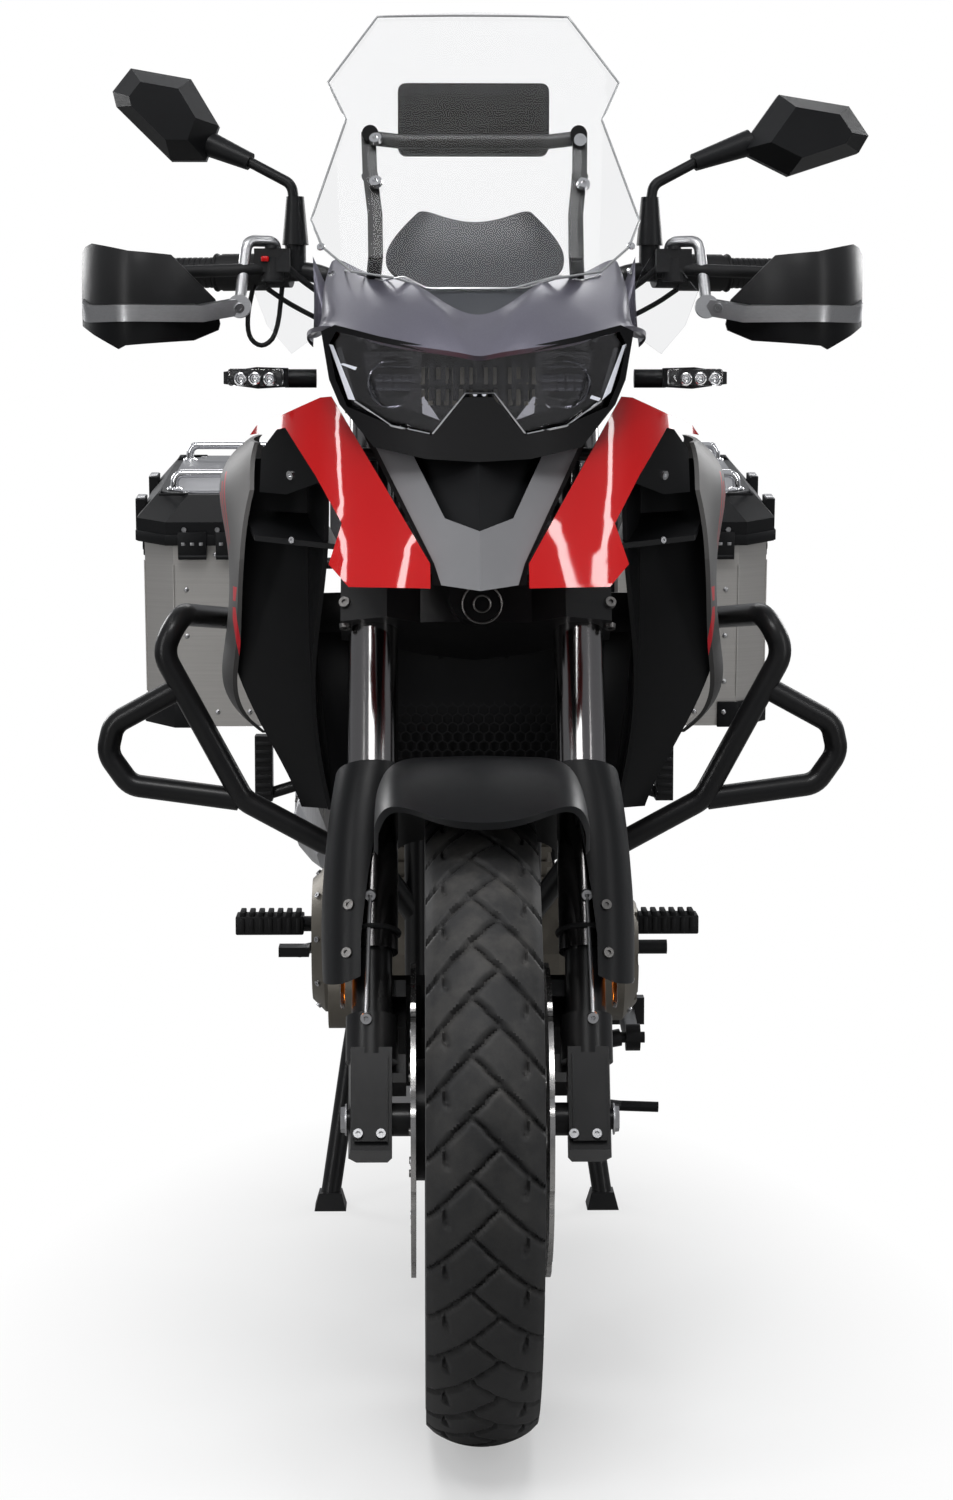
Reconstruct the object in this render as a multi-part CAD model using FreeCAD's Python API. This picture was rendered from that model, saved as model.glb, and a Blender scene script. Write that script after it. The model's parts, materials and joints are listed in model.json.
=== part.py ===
import FreeCAD, Part
import math
import os

# Adventure motorcycle on its centre stand. Millimetres, Z up, the front faces -Y,
# the rider's left is +X, the floor is Z = 0.

V = FreeCAD.Vector

# Wheels and steering
WHEELBASE = 1505
FRONT_Y = -781
FRONT_R = 329
FRONT_HALF = 57
REAR_Y = FRONT_Y + WHEELBASE
REAR_R = 321
REAR_HALF = 76
STAND_LIFT = 20
FRONT_Z = FRONT_R
REAR_Z = REAR_R + STAND_LIFT
RAKE = 26
AXLE_OFFSET = 47.2
FORK_HALF = 111
OUTER_TUBE_R = 27
STANCHION_R = 21
FRONT_RIM_R = 241
REAR_RIM_R = 216
AXLE_R = 11
DISC_X = 68
DISC_R = 160
DISC_T = 5
REAR_DISC_R = 120

# Drive line
CHAIN_X = 92
SPROCKET_R = 116
DRIVE_R = 41
CHAIN_PITCH = 15.875
CHAIN_WIDTH = 19
DRIVE_Y = 128
DRIVE_Z = 398
PIVOT_Y = 186
PIVOT_Z = 398

# Frame and body
HEAD_R = 31
HEAD_H0 = 606
HEAD_H1 = 804
YOKE_LOW_H = 540
YOKE_TOP_H = 814
BAR_Y = -338
BAR_Z = 1168
BAR_HALF = 432

# Hand guards and mirrors
GUARD_Z = 1161
GUARD_STRIP = 20
GUARD_SHEET = 8
GUARD_BOLT_X = 262
GUARD_PLAN = [(256, -391), (320, -409), (384, -426), (424, -394), (442, -356)]
SHIELD = [(441, 1148), (441, 1229), (436, 1236), (427, 1239), (383, 1229), (336, 1225), (289, 1177), (284, 1150),
          (286, 1143), (313, 1131), (388, 1125), (396, 1121), (425, 1137)]
DOME_SHARE = 0.62
MIRROR_LEFT = [(304, 1348), (361, 1320), (441, 1346), (452, 1365), (429, 1398), (349, 1411)]
MIRROR_RIGHT = [(-288, 1375), (-303, 1336), (-343, 1336), (-404, 1396), (-408, 1413), (-387, 1439), (-319, 1427)]
CHEEK = [(84, 720), (88, 668), (104, 632), (110, 601), (115, 571), (122, 513), (122, 474), (140, 466), (170, 458),
         (170, 720)]

# Luggage
CASE_TILT = 7
CASE_L = 430
CASE_W = 206
CASE_H = 252
CASE_WALL = 3
CASE_LEFT_X = 312
CASE_RIGHT_X = -334
CASE_Y = 566
CASE_Z = 652
CASE_CHAMFER = 42
LID_LIP = 9
HINGE_Y = 104
HINGE_R = 6
HINGE_PIN_R = 3
HINGE_LUG = 18
HINGE_KNUCKLE = 19

# Rear rack
RACK_Y = 812
RACK_HOLE_R = 4.2
REAR_END = 1110

# Pins of the stands
STAND_Y = 215
STAND_Z = 285
STAND_PIN_R = 9
SIDE_PIN_R = 7
SIDE_Y = -40
SIDE_Z = 268

# Clearances
PIN_FIT = 0.4
FIT = 0.3
RUN = 6


def box(x0, x1, y0, y1, z0, z1):
    return Part.makeBox(x1 - x0, y1 - y0, z1 - z0, V(x0, y0, z0))


def rod(a, b, r):
    axis = V(*b) - V(*a)
    return Part.makeCylinder(r, axis.Length, V(*a), axis)


def ring(a, b, r, hole):
    return rod(a, b, r).cut(rod(a, b, hole))


def cone(a, b, r0, r1):
    axis = V(*b) - V(*a)
    return Part.makeCone(r0, r1, axis.Length, V(*a), axis)


def wire(points):
    return Part.makePolygon([V(*p) for p in points] + [V(*points[0])])


def face(points):
    return Part.Face(wire(points))


def side_prism(outline, x0, x1):
    return face([(x0, y, z) for y, z in outline]).extrude(V(x1 - x0, 0, 0))


def front_prism(outline, y0, y1):
    return face([(x, y0, z) for x, z in outline]).extrude(V(0, y1 - y0, 0))


def plan_prism(outline, z0, z1):
    return face([(x, y, z0) for x, y in outline]).extrude(V(0, 0, z1 - z0))


def flip(shape):
    return shape.mirror(V(0, 0, 0), V(1, 0, 0))


def pair(shape):
    return [shape, flip(shape)]


def both_sides(half):
    return half + [(-p[0],) + tuple(p[1:]) for p in reversed(half) if abs(p[0]) > 0.01]


def fuse(shapes):
    return shapes[0].multiFuse(shapes[1:]).removeSplitter()


def loft(sections, smooth=False):
    return Part.makeLoft([wire(s) for s in sections], True, not smooth)


def at(shape, x, y, z):
    moved = shape.copy()
    moved.translate(V(x, y, z))
    return moved


def turned(profile, y, z):
    half = face([(x, y, z + r) for x, r in profile])
    return half.revolve(V(0, y, z), V(1, 0, 0), 360)


def largest(shape):
    return max(shape.Solids, key=lambda solid: solid.Volume)


def group(*shapes):
    return Part.makeCompound(list(shapes))


def sector(x0, x1, inner, outer, start, end, y, z):
    band = ring((x0, y, z), (x1, y, z), outer, inner)
    a = math.radians(start)
    b = math.radians(end)
    far = outer * 2
    wedge = side_prism([(y, z), (y + far * math.cos(a), z + far * math.sin(a)),
                        (y + far * math.cos(b), z + far * math.sin(b))], x0, x1)
    return band.common(wedge)


def spun(shape, y, z, count, first=0):
    out = []
    for i in range(count):
        piece = shape.copy()
        piece.rotate(V(0, y, z), V(1, 0, 0), first + 360 / count * i)
        out.append(piece)
    return out


def path(points, bend):
    pts = [V(*p) for p in points]
    edges = []
    last = pts[0]
    for before, corner, after in zip(pts, pts[1:], pts[2:]):
        a = (before - corner).normalize()
        b = (after - corner).normalize()
        half = a.getAngle(b) / 2
        reach = bend / math.tan(half)
        start = corner + a * reach
        end = corner + b * reach
        inward = (a + b).normalize()
        middle = corner + inward * (bend / math.sin(half) - bend)
        if (start - last).Length > 0.01:
            edges.append(Part.LineSegment(last, start).toShape())
        edges.append(Part.Arc(start, middle, end).toShape())
        last = end
    edges.append(Part.LineSegment(last, pts[-1]).toShape())
    return Part.Wire(edges)


def tube(points, r, bend):
    start = V(*points[0])
    toward = V(*points[1]) - start
    circle = Part.Wire(Part.makeCircle(r, start, toward))
    if len(points) == 2:
        return rod(points[0], points[1], r)
    return path(points, bend).makePipeShell([circle], True, False)


def skin(rows, depth, along=(0, 1, 0)):
    surface = Part.BSplineSurface()
    surface.interpolate([[V(*p) for p in row] for row in rows])
    return surface.toShape().extrude(V(*along).normalize() * depth)


def fork(shape):
    placed = shape.copy()
    placed.rotate(V(0, 0, 0), V(1, 0, 0), -RAKE)
    placed.translate(V(0, FRONT_Y, FRONT_Z))
    return placed


def axis_y(z):
    return FRONT_Y + AXLE_OFFSET / math.cos(math.radians(RAKE)) + math.tan(math.radians(RAKE)) * (z - FRONT_Z)


def save(name, shapes):
    solids = []
    for shape in shapes:
        solids += shape.Solids
    body = solids[0] if len(solids) == 1 else Part.makeCompound(solids)
    body.exportStep("parts/" + name + ".step")
    print(name, len(solids), round(body.Volume / 1e6, 3), body.isValid())
    return body


# Wheels

def tyre(rim_r, tyre_r, half, y, z):
    bead = half * 0.62
    tread = tyre_r - half * 0.42
    outer = [
        (-bead, rim_r + FIT), (-bead, rim_r + 12 + FIT), (-bead - 5, rim_r + 18), (-half * 0.95, rim_r + (tread - rim_r) * 0.45),
        (-half, rim_r + (tread - rim_r) * 0.72), (-half * 0.96, tread), (-half * 0.74, tyre_r - half * 0.19),
        (-half * 0.42, tyre_r - half * 0.055), (0, tyre_r)]
    inner = [
        (0, tyre_r - 14), (-half * 0.6, tyre_r - half * 0.19 - 12), (-half * 0.8, tread - 6),
        (-half * 0.82, rim_r + 40), (-bead + 10, rim_r + 12), (-bead + 10, rim_r + FIT)]
    return turned(outer + [(-x, r) for x, r in reversed(outer[:-1])]
                  + [(-x, r) for x, r in reversed(inner[1:])] + inner, y, z)


def rim(rim_r, half, hub_r, hub_half, y, z):
    bead = half * 0.62
    barrel = turned([
        (-bead - 3, rim_r + 12), (-bead, rim_r + 12), (-bead, rim_r), (-bead + 12, rim_r),
        (-bead + 18, rim_r - 20), (bead - 18, rim_r - 20), (bead - 12, rim_r), (bead, rim_r),
        (bead, rim_r + 12), (bead + 3, rim_r + 12), (bead + 3, rim_r - 6), (bead - 10, rim_r - 28),
        (-bead + 10, rim_r - 28), (-bead - 3, rim_r - 6)], y, z)
    hub = turned([(-hub_half, 18), (-hub_half, hub_r * 0.8), (-hub_half * 0.5, hub_r), (hub_half * 0.5, hub_r),
                  (hub_half, hub_r * 0.8), (hub_half, 18)], y, z)
    arm = loft([
        [(-13, y - 34, z + hub_r - 12), (13, y - 34, z + hub_r - 12), (13, y - 6, z + hub_r - 4), (-13, y - 6, z + hub_r - 4)],
        [(-11, y - 62, z + rim_r - 30), (11, y - 62, z + rim_r - 30), (11, y - 44, z + rim_r - 27), (-11, y - 44, z + rim_r - 27)]])
    arms = spun(arm, y, z, 5) + spun(arm.mirror(V(0, y, z), V(0, 1, 0)), y, z, 5)
    return fuse([barrel, hub] + arms)


def disc(x, r, inner, y, z, thick):
    plate = ring((x - thick / 2, y, z), (x + thick / 2, y, z), r, inner)
    wave = rod((x - thick, y, z + r + 22), (x + thick, y, z + r + 22), 26)
    hole = rod((x - thick, y, z + r - 14), (x + thick, y, z + r - 14), 4)
    holes = spun(hole, y, z, 20, 9)
    return plate.cut(Part.makeCompound(spun(wave, y, z, 10) + holes))


def front_wheel():
    y = FRONT_Y
    z = FRONT_Z
    save("front_tyre", [tyre(FRONT_RIM_R, FRONT_R, FRONT_HALF, y, z)])
    body = rim(FRONT_RIM_R, FRONT_HALF, 52, 46, y, z)
    flange = ring((46, y, z), (DISC_X - DISC_T / 2, y, z), 62, 18)
    save("front_rim", [fuse([body, flange, flip(flange)])])
    plate = disc(DISC_X, DISC_R, 52, y, z, DISC_T)
    windows = rod((60, y, z + 78), (76, y, z + 78), 14)
    plate = plate.cut(Part.makeCompound(spun(windows, y, z, 8)))
    save("front_discs", pair(plate))


def rear_wheel():
    y = REAR_Y
    z = REAR_Z
    save("rear_tyre", [tyre(REAR_RIM_R, REAR_R, REAR_HALF, y, z)])
    body = rim(REAR_RIM_R, REAR_HALF, 66, 62, y, z)
    flange = ring((60, y, z), (CHAIN_X - 3, y, z), 70, 18)
    boss = ring((-60, y, z), (-CHAIN_X + 2.5, y, z), 62, 18)
    save("rear_rim", [fuse([body, flange, boss])])
    plate = disc(-CHAIN_X, REAR_DISC_R, 44, y, z, DISC_T)
    save("rear_disc", [plate])
    blank = ring((CHAIN_X - 3, y, z), (CHAIN_X + 3, y, z), SPROCKET_R - 5.5, 30)
    gap = rod((CHAIN_X - 6, y, z + SPROCKET_R), (CHAIN_X + 6, y, z + SPROCKET_R), 7)
    light = rod((CHAIN_X - 6, y, z + 80), (CHAIN_X + 6, y, z + 80), 15)
    save("rear_sprocket", [blank.cut(Part.makeCompound(spun(gap, y, z, 46) + spun(light, y, z, 6, 30)))])


# Steered parts

def yokes():
    low = plan_prism(both_sides([(0, -30), (60, -26), (96, -42), (146, -30), (146, 24), (112, 38), (60, 66), (0, 84)]),
                     YOKE_LOW_H, YOKE_LOW_H + 56)
    top = plan_prism(both_sides([(0, -6), (60, -10), (92, -36), (144, -28), (144, 24), (110, 36), (60, 74), (0, 86)]),
                     YOKE_TOP_H, YOKE_TOP_H + 24)
    stem = rod((0, AXLE_OFFSET, YOKE_LOW_H + 20), (0, AXLE_OFFSET, YOKE_TOP_H + 10), 15)
    nut = rod((0, AXLE_OFFSET, YOKE_TOP_H + 20), (0, AXLE_OFFSET, YOKE_TOP_H + 34), 19)
    risers = []
    for x in (-44, 44):
        risers.append(cone((x, 50, YOKE_TOP_H + 20), (x, 32, YOKE_TOP_H + 118), 21, 17))
    body = fork(fuse([low, top, stem, nut] + risers))
    clamps = [box(x - 17, x + 17, BAR_Y - 24, BAR_Y + 24, BAR_Z - 26, BAR_Z + 22) for x in (-44, 44)]
    holes = [rod((s * FORK_HALF, 0, 500), (s * FORK_HALF, 0, 900), OUTER_TUBE_R) for s in (-1, 1)]
    bar = rod((-90, BAR_Y, BAR_Z), (90, BAR_Y, BAR_Z), 14)
    body = fuse([body] + clamps).cut(Part.makeCompound([fork(h) for h in holes] + [bar]))
    horn = fork(rod((0, -30, YOKE_LOW_H + 26), (0, -56, YOKE_LOW_H + 20), 30))
    return save("yokes", [fuse([body, horn])])


def fork_tubes():
    tube_outer = rod((FORK_HALF, 0, 178), (FORK_HALF, 0, 852), OUTER_TUBE_R)
    cap = rod((FORK_HALF, 0, 852), (FORK_HALF, 0, 862), 20)
    return save("fork_tubes", pair(fork(fuse([tube_outer, cap]))))


def fork_legs():
    stanchion = rod((FORK_HALF, 0, 96), (FORK_HALF, 0, 178), STANCHION_R)
    casting = plan_prism([(FORK_HALF - 21, -26), (FORK_HALF + 21, -26), (FORK_HALF + 24, 10), (FORK_HALF + 16, 30),
                          (FORK_HALF - 16, 30), (FORK_HALF - 21, 10)], -38, 70)
    upper = rod((FORK_HALF, 0, 60), (FORK_HALF, 0, 108), 27)
    pad = plan_prism([(FORK_HALF - 17, -32), (FORK_HALF + 17, -32), (FORK_HALF + 17, -20), (FORK_HALF - 17, -20)], -30, 62)
    lug = box(DISC_X + 8, FORK_HALF - 6, 20, 60, 54, 74)
    lug2 = box(DISC_X + 8, FORK_HALF - 6, 20, 66, 136, 154)
    link = box(FORK_HALF - 20, FORK_HALF + 4, 22, 44, 60, 152)
    web = box(FORK_HALF - 20, FORK_HALF + 4, 10, 26, 60, 80)
    leg = fork(fuse([stanchion, casting, upper, pad, lug, lug2, link, web]))
    legs = pair(leg)
    y = FRONT_Y
    z = FRONT_Z
    axle = rod((-FORK_HALF - 26, y, z), (FORK_HALF + 26, y, z), AXLE_R)
    spacer = rod((50, y, z), (FORK_HALF - 18, y, z), 17)
    return save("fork_legs", [fuse(legs + [axle, spacer, flip(spacer)])])


def front_calipers(legs):
    body = sector(48, 98, 112, 178, 26, 72, 0, 0)
    slot = ring((DISC_X - 8, 0, 0), (DISC_X + 8, 0, 0), 165, 60)
    bridge = sector(56, 94, 150, 184, 42, 56, 0, 0).cut(slot)
    shape = largest(fork(fuse([body.cut(slot), bridge])).cut(legs))
    return save("front_calipers", pair(shape))


def handlebar():
    half = [(0, BAR_Y, BAR_Z), (96, BAR_Y, BAR_Z), (178, BAR_Y - 4, BAR_Z + 42), (BAR_HALF - 8, BAR_Y + 52, BAR_Z + 42)]
    points = [(-x, y, z) for x, y, z in reversed(half[1:])] + half
    points = [p for p in points if p[0] != 0]
    return save("handlebar", [tube(points, 11, 60).fuse(rod((-90, BAR_Y, BAR_Z), (90, BAR_Y, BAR_Z), 14))])


def bar_point(x):
    share = (x - 178) / (BAR_HALF - 8 - 178)
    return (x, BAR_Y - 4 + 56 * share, BAR_Z + 42)


def bar_controls(bar):
    grip = rod(bar_point(290), bar_point(408), 16.5)
    collar = rod(bar_point(280), bar_point(292), 20)
    switch = rod(bar_point(232), bar_point(284), 21)
    clamp = rod(bar_point(206), bar_point(234), 18)
    p = bar_point(218)
    tank = box(p[0] - 12, p[0] + 28, p[1] - 46, p[1] - 8, p[2] - 2, p[2] + 24)
    neck = box(p[0] - 10, p[0] + 10, p[1] - 30, p[1], p[2] - 8, p[2] + 14)
    q = bar_point(262)
    lever = tube([(226, p[1] - 34, p[2] + 2), (258, q[1] - 58, p[2]), (402, q[1] - 34, p[2] - 4)], 7, 20)
    pivot = rod((226, p[1] - 34, p[2] - 12), (226, p[1] - 34, p[2] + 14), 13)
    shape = fuse([grip, collar, switch, clamp, neck, tank, pivot, lever]).cut(bar)
    return save("bar_controls", pair(shape))


def mirror(side, shoulder, outline, bar, controls):
    base = BAR_Z + 42
    foot = (side * 201, BAR_Y - 2)
    boot = cone((*foot, base + 30), (*foot, base + 84), 15, 10)
    root = rod((*foot, base), (*foot, base + 34), 12)
    arm = tube([(*foot, base + 70), (side * 205, BAR_Y, base + 98), (side * 272, -322, 1344)], 6, 16)
    neck = cone((side * 252, -326, 1334), shoulder, 10, 15)
    mid_x = sum(x for x, z in outline) / len(outline)
    mid_z = sum(z for x, z in outline) / len(outline)
    dome = [(mid_x + (x - mid_x) * DOME_SHARE, -356, mid_z + (z - mid_z) * DOME_SHARE) for x, z in outline]
    rim_edge = [(x, -318, z) for x, z in outline]
    glass = [(x, -296, z) for x, z in outline]
    head = loft([dome, rim_edge, glass])
    return largest(fuse([boot, root, arm, neck, head]).cut(group(bar, controls)))


def mirrors(bar, controls):
    left = mirror(1, (318, -312, 1358), MIRROR_LEFT, bar, controls)
    right = mirror(-1, (-306, -312, 1358), MIRROR_RIGHT, bar, controls)
    return save("mirrors", [left, right])


def handguards(bar, controls, mirror_pair):
    end = bar_point(BAR_HALF - 8)
    rail = path([(end[0] + 6, end[1], end[2] - 8), (end[0] + 9, -386, GUARD_Z), (384, -430, GUARD_Z),
                 (304, -407, GUARD_Z), (GUARD_BOLT_X, -394, GUARD_Z + 8)], 26)
    start = rail.Vertexes[0].Point
    half = GUARD_STRIP / 2
    section = wire([(start.x - 6, start.y, start.z - half), (start.x + 6, start.y, start.z - half),
                    (start.x + 6, start.y, start.z + half), (start.x - 6, start.y, start.z + half)])
    blade = rail.makePipeShell([section], True, False)
    cap = rod((BAR_HALF - 8, end[1], end[2]), (BAR_HALF + 6, end[1] + 3, end[2]), 15)
    joint = rod((GUARD_BOLT_X, -400, GUARD_Z + 8), (GUARD_BOLT_X, -384, GUARD_Z + 8), 13)
    arm = tube([(GUARD_BOLT_X, -387, GUARD_Z + 10), (254, -372, 1243), (224, -356, 1243), (221, BAR_Y + 2, BAR_Z + 48)],
               6.5, 12)
    metal = largest(fuse([blade, cap, joint, arm]).cut(group(bar, controls, mirror_pair)))
    save("handguard_bars", pair(metal))
    rows = []
    for z, inward in ((1110, 12), (GUARD_Z, 0), (1205, -1), (1246, 9)):
        rows.append([(x, y + inward, z) for x, y in GUARD_PLAN])
    sheet = skin(rows, GUARD_SHEET)
    shield = sheet.common(front_prism(SHIELD, -520, -330))
    save("handguards", pair(largest(shield.cut(group(metal, controls)))))


def dome(profile, first, last, drop):
    rows = []
    for share in (0, 0.25, 0.5, 0.75, 1):
        row = []
        for x, reach in profile:
            angle = first + (last - first) * share
            angle += max(-angle - 12, 0) * 0.6 * (x / 106) ** 2
            a = math.radians(angle)
            row.append((x, FRONT_Y + reach * math.sin(a), FRONT_Z + reach * math.cos(a)))
        rows.append(row)
    return skin(mirrored(rows), drop, (0, 0, -1))


def fender(legs, tubes):
    hood = dome([(0, 372), (46, 371), (82, 367), (97, 355), (106, 328)], -28, 46, 150)
    hood = hood.cut(dome([(0, 368), (46, 367), (79, 363), (93, 351), (102, 326)], -36, 54, 180))
    hood = hood.cut(rod((-130, FRONT_Y, FRONT_Z), (130, FRONT_Y, FRONT_Z), 310))
    cheek_rows = []
    for h, plan in (
            (125, [(100, -35), (122, -42), (143, -36), (157, -15), (161, 10), (160, 42)]),
            (250, [(98, -38), (121, -46), (144, -39), (158, -18), (163, 8), (161, 42)]),
            (330, [(90, -40), (112, -50), (136, -45), (152, -24), (157, 4), (155, 42)]),
            (400, [(80, -40), (98, -51), (120, -48), (138, -30), (146, 0), (146, 42)])):
        cheek_rows.append([(x, y, h) for x, y in plan])
    cheek = skin(cheek_rows, 5, (-0.5, 0.85, 0))
    cheek = fork(cheek.common(side_prism(
        [(-70, 158), (-36, 132), (-8, 128), (22, 170), (40, 250), (44, 330), (36, 374), (-70, 374)], 60, 200)))
    cheek = cheek.common(front_prism(CHEEK, -900, -500))
    deck = plan_prism([(94, -46), (120, -43), (137, -27), (146, 0), (147, 36), (94, 36)], 350, 355)
    deck = fork(deck)
    room = [fork(rod((s * FORK_HALF, 0, 60), (s * FORK_HALF, 0, 560), OUTER_TUBE_R + FIT)) for s in (-1, 1)]
    whole = fuse([hood, cheek, flip(cheek), deck, flip(deck)]).cut(group(*room, legs, tubes))
    return save("front_fender", [largest(whole)])


# Chassis

def main_frame():
    head_tube = fork(rod((0, AXLE_OFFSET, HEAD_H0), (0, AXLE_OFFSET, HEAD_H1), HEAD_R))
    bore = fork(rod((0, AXLE_OFFSET, 500), (0, AXLE_OFFSET, 900), 15.5))
    spar = tube([(16, -384, 985), (112, -240, 900), (118, 60, 700), (110, 196, 470)], 16, 60)
    down = tube([(14, -424, 900), (66, -352, 640), (66, -338, 300), (72, -250, 252), (72, 130, 252), (104, 200, 268)], 13, 40)
    brace = tube([(64, -356, 650), (112, -210, 846)], 11, 20)
    plate = side_prism([(150, 262), (236, 262), (240, 330), (226, 470), (196, 520), (160, 505), (140, 440), (150, 340)], 104, 116)
    upper = tube([(116, 70, 706), (104, 300, 812), (86, 560, 862), (80, 850, 880)], 11, 80)
    lower = tube([(110, 206, 500), (100, 420, 690), (84, 700, 864)], 11, 80)
    lug = rod((100, STAND_Y, STAND_Z), (160, STAND_Y, STAND_Z), STAND_PIN_R)
    half = [spar, down, brace, plate, upper, lower, lug]
    stand_lug = tube([(72, -64, 252), (150, -46, 262), (191, SIDE_Y, SIDE_Z)], 11, 30)
    stand_lug = stand_lug.fuse(rod((186, SIDE_Y, SIDE_Z), (222, SIDE_Y, SIDE_Z), SIDE_PIN_R))
    cross = [rod((-116, 200, 490), (116, 200, 490), 12), rod((-72, -250, 252), (72, -250, 252), 11),
             rod((-84, 700, 862), (84, 700, 862), 10), rod((-106, 300, 808), (106, 300, 808), 10),
             rod((-72, 60, 252), (72, 60, 252), 11)]
    pivot = rod((-116, PIVOT_Y, PIVOT_Z), (116, PIVOT_Y, PIVOT_Z), 9)
    nose = tube([(16, -430, 958), (26, -560, 1000), (26, -650, 1036)], 8, 60)
    beam = rod((-158, -578, 1006), (158, -578, 1006), 7)
    body = fuse([head_tube] + half + [flip(h) for h in half] + cross + [pivot, nose, flip(nose), beam, stand_lug])
    return save("main_frame", [body.cut(bore)])


def engine(frame):
    case = side_prism([(-236, 330), (-252, 410), (-200, 486), (40, 500), (70, 470), (74, 330), (20, 284), (-170, 280)], -104, 104)
    gearbox = side_prism([(60, 300), (60, 482), (140, 470), (157, 430), (156, 350), (130, 296)], -78, 78)
    left = rod((100, -96, 386), (188, -96, 386), 84).fuse(cone((188, -96, 386), (206, -96, 386), 84, 62))
    left = left.cut(Part.makeCompound([rod((196, -96 + 58 * math.cos(a), 386 + 58 * math.sin(a)),
                                            (212, -96 + 58 * math.cos(a), 386 + 58 * math.sin(a)), 9)
                                       for a in (0.4, 1.3, 2.2, 3.1, 4.0, 4.9, 5.8)]))
    sprocket_cover = side_prism([(50, 336), (46, 458), (136, 458), (146, 420), (146, 372), (136, 336)], 100, 122)
    right = rod((-180, -20, 392), (-100, -20, 392), 92).fuse(cone((-180, -20, 392), (-196, -20, 392), 92, 76))
    pump = rod((-172, -176, 350), (-100, -176, 350), 42)
    filler = rod((-184, 44, 460), (-150, 44, 460), 16)
    filter_can = rod((0, -232, 350), (0, -292, 340), 34)
    tilt = []
    tilt.append(box(-92, 92, -70, 66, -30, 112))
    for i in range(4):
        tilt.append(box(-97, 97, -75, 71, 24 + i * 20, 31 + i * 20))
    tilt.append(box(-104, 104, -84, 76, 112, 196))
    tilt.append(plan_prism([(-98, -70), (98, -70), (98, 66), (-98, 66)], 196, 236))
    for y in (-38, 34):
        tilt.append(rod((-101, y, 200), (101, y, 200), 30))
    block = fuse(tilt)
    block.rotate(V(0, 0, 0), V(1, 0, 0), 18)
    block.translate(V(0, -110, 470))
    ports = [rod((x, -238, 612), (x, -268, 596), 27) for x in (-42, 42)]
    throttle = [tube([(x, -98, 672), (x, -20, 690), (x, 30, 716)], 26, 30) for x in (-42, 42)]
    airbox = loft([[(-84, 10, 700), (84, 10, 700), (84, 10, 800), (-84, 10, 800)],
                   [(-90, 170, 690), (90, 170, 690), (90, 170, 760), (-90, 170, 760)]])
    starter = rod((-60, 60, 536), (60, 60, 536), 32).fuse(box(-30, 30, 30, 90, 470, 540))
    body = fuse([case, gearbox, left, sprocket_cover, right, pump, filler, filter_can, block] + ports + throttle + [airbox, starter])
    driver = rod((78, DRIVE_Y, DRIVE_Z), (CHAIN_X + 3, DRIVE_Y, DRIVE_Z), 20)
    driver = driver.fuse(rod((CHAIN_X - 3, DRIVE_Y, DRIVE_Z), (CHAIN_X + 3, DRIVE_Y, DRIVE_Z), DRIVE_R - 6))
    chain_room = rod((79, DRIVE_Y, DRIVE_Z), (104, DRIVE_Y, DRIVE_Z), DRIVE_R + 12)
    body = body.cut(chain_room)
    return save("engine", [fuse([body, driver]).cut(frame)])


def exhaust(frame, motor):
    header = tube([(42, -260, 600), (42, -312, 560), (42, -306, 330), (34, -230, 262), (-20, -120, 262), (-50, 40, 262)], 18, 34)
    header2 = tube([(-42, -260, 600), (-42, -312, 560), (-42, -306, 330), (-46, -230, 262), (-50, -120, 262), (-50, 40, 262)], 18, 34)
    link = tube([(-50, 30, 262), (-92, 120, 270), (-160, 176, 340), (-166, 300, 372), (-172, 440, 440)], 22, 36)
    box_ = loft([
        [(-172 + 34 * math.cos(a), 430, 436 + 30 * math.sin(a)) for a in [i * math.pi / 6 for i in range(12)]],
        [(-190 + 50 * math.cos(a), 500, 470 + 60 * math.sin(a)) for a in [i * math.pi / 6 for i in range(12)]],
        [(-200 + 50 * math.cos(a), 860, 560 + 60 * math.sin(a)) for a in [i * math.pi / 6 for i in range(12)]],
        [(-202 + 34 * math.cos(a), 930, 578 + 40 * math.sin(a)) for a in [i * math.pi / 6 for i in range(12)]]])
    tip = rod((-202, 900, 572), (-203, 956, 586), 22)
    body = fuse([header, header2, link, box_, tip]).cut(rod((-202, 920, 577), (-203.5, 970, 590), 18))
    tab = tube([(-92, 560, 776), (-116, 590, 700), (-186, 640, 530)], 8, 30)
    body = fuse([body, tab])
    return save("exhaust", [largest(body.cut(group(frame, motor)))])


def radiator(frame):
    core = side_prism([(-404, 800), (-376, 800), (-364, 590), (-392, 590)], -104, 104)
    tank_l = side_prism([(-412, 806), (-368, 806), (-356, 586), (-400, 586)], 104, 128)
    shroud = rod((0, -374, 690), (0, -354, 690), 78)
    hose = tube([(112, -376, 780), (118, -330, 790), (96, -236, 740)], 14, 24)
    body = fuse([core, tank_l, flip(tank_l), shroud, hose])
    mount = box(-60, 60, -392, -372, 796, 812)
    return save("radiator", [largest(fuse([body, mount]).cut(frame))])


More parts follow.
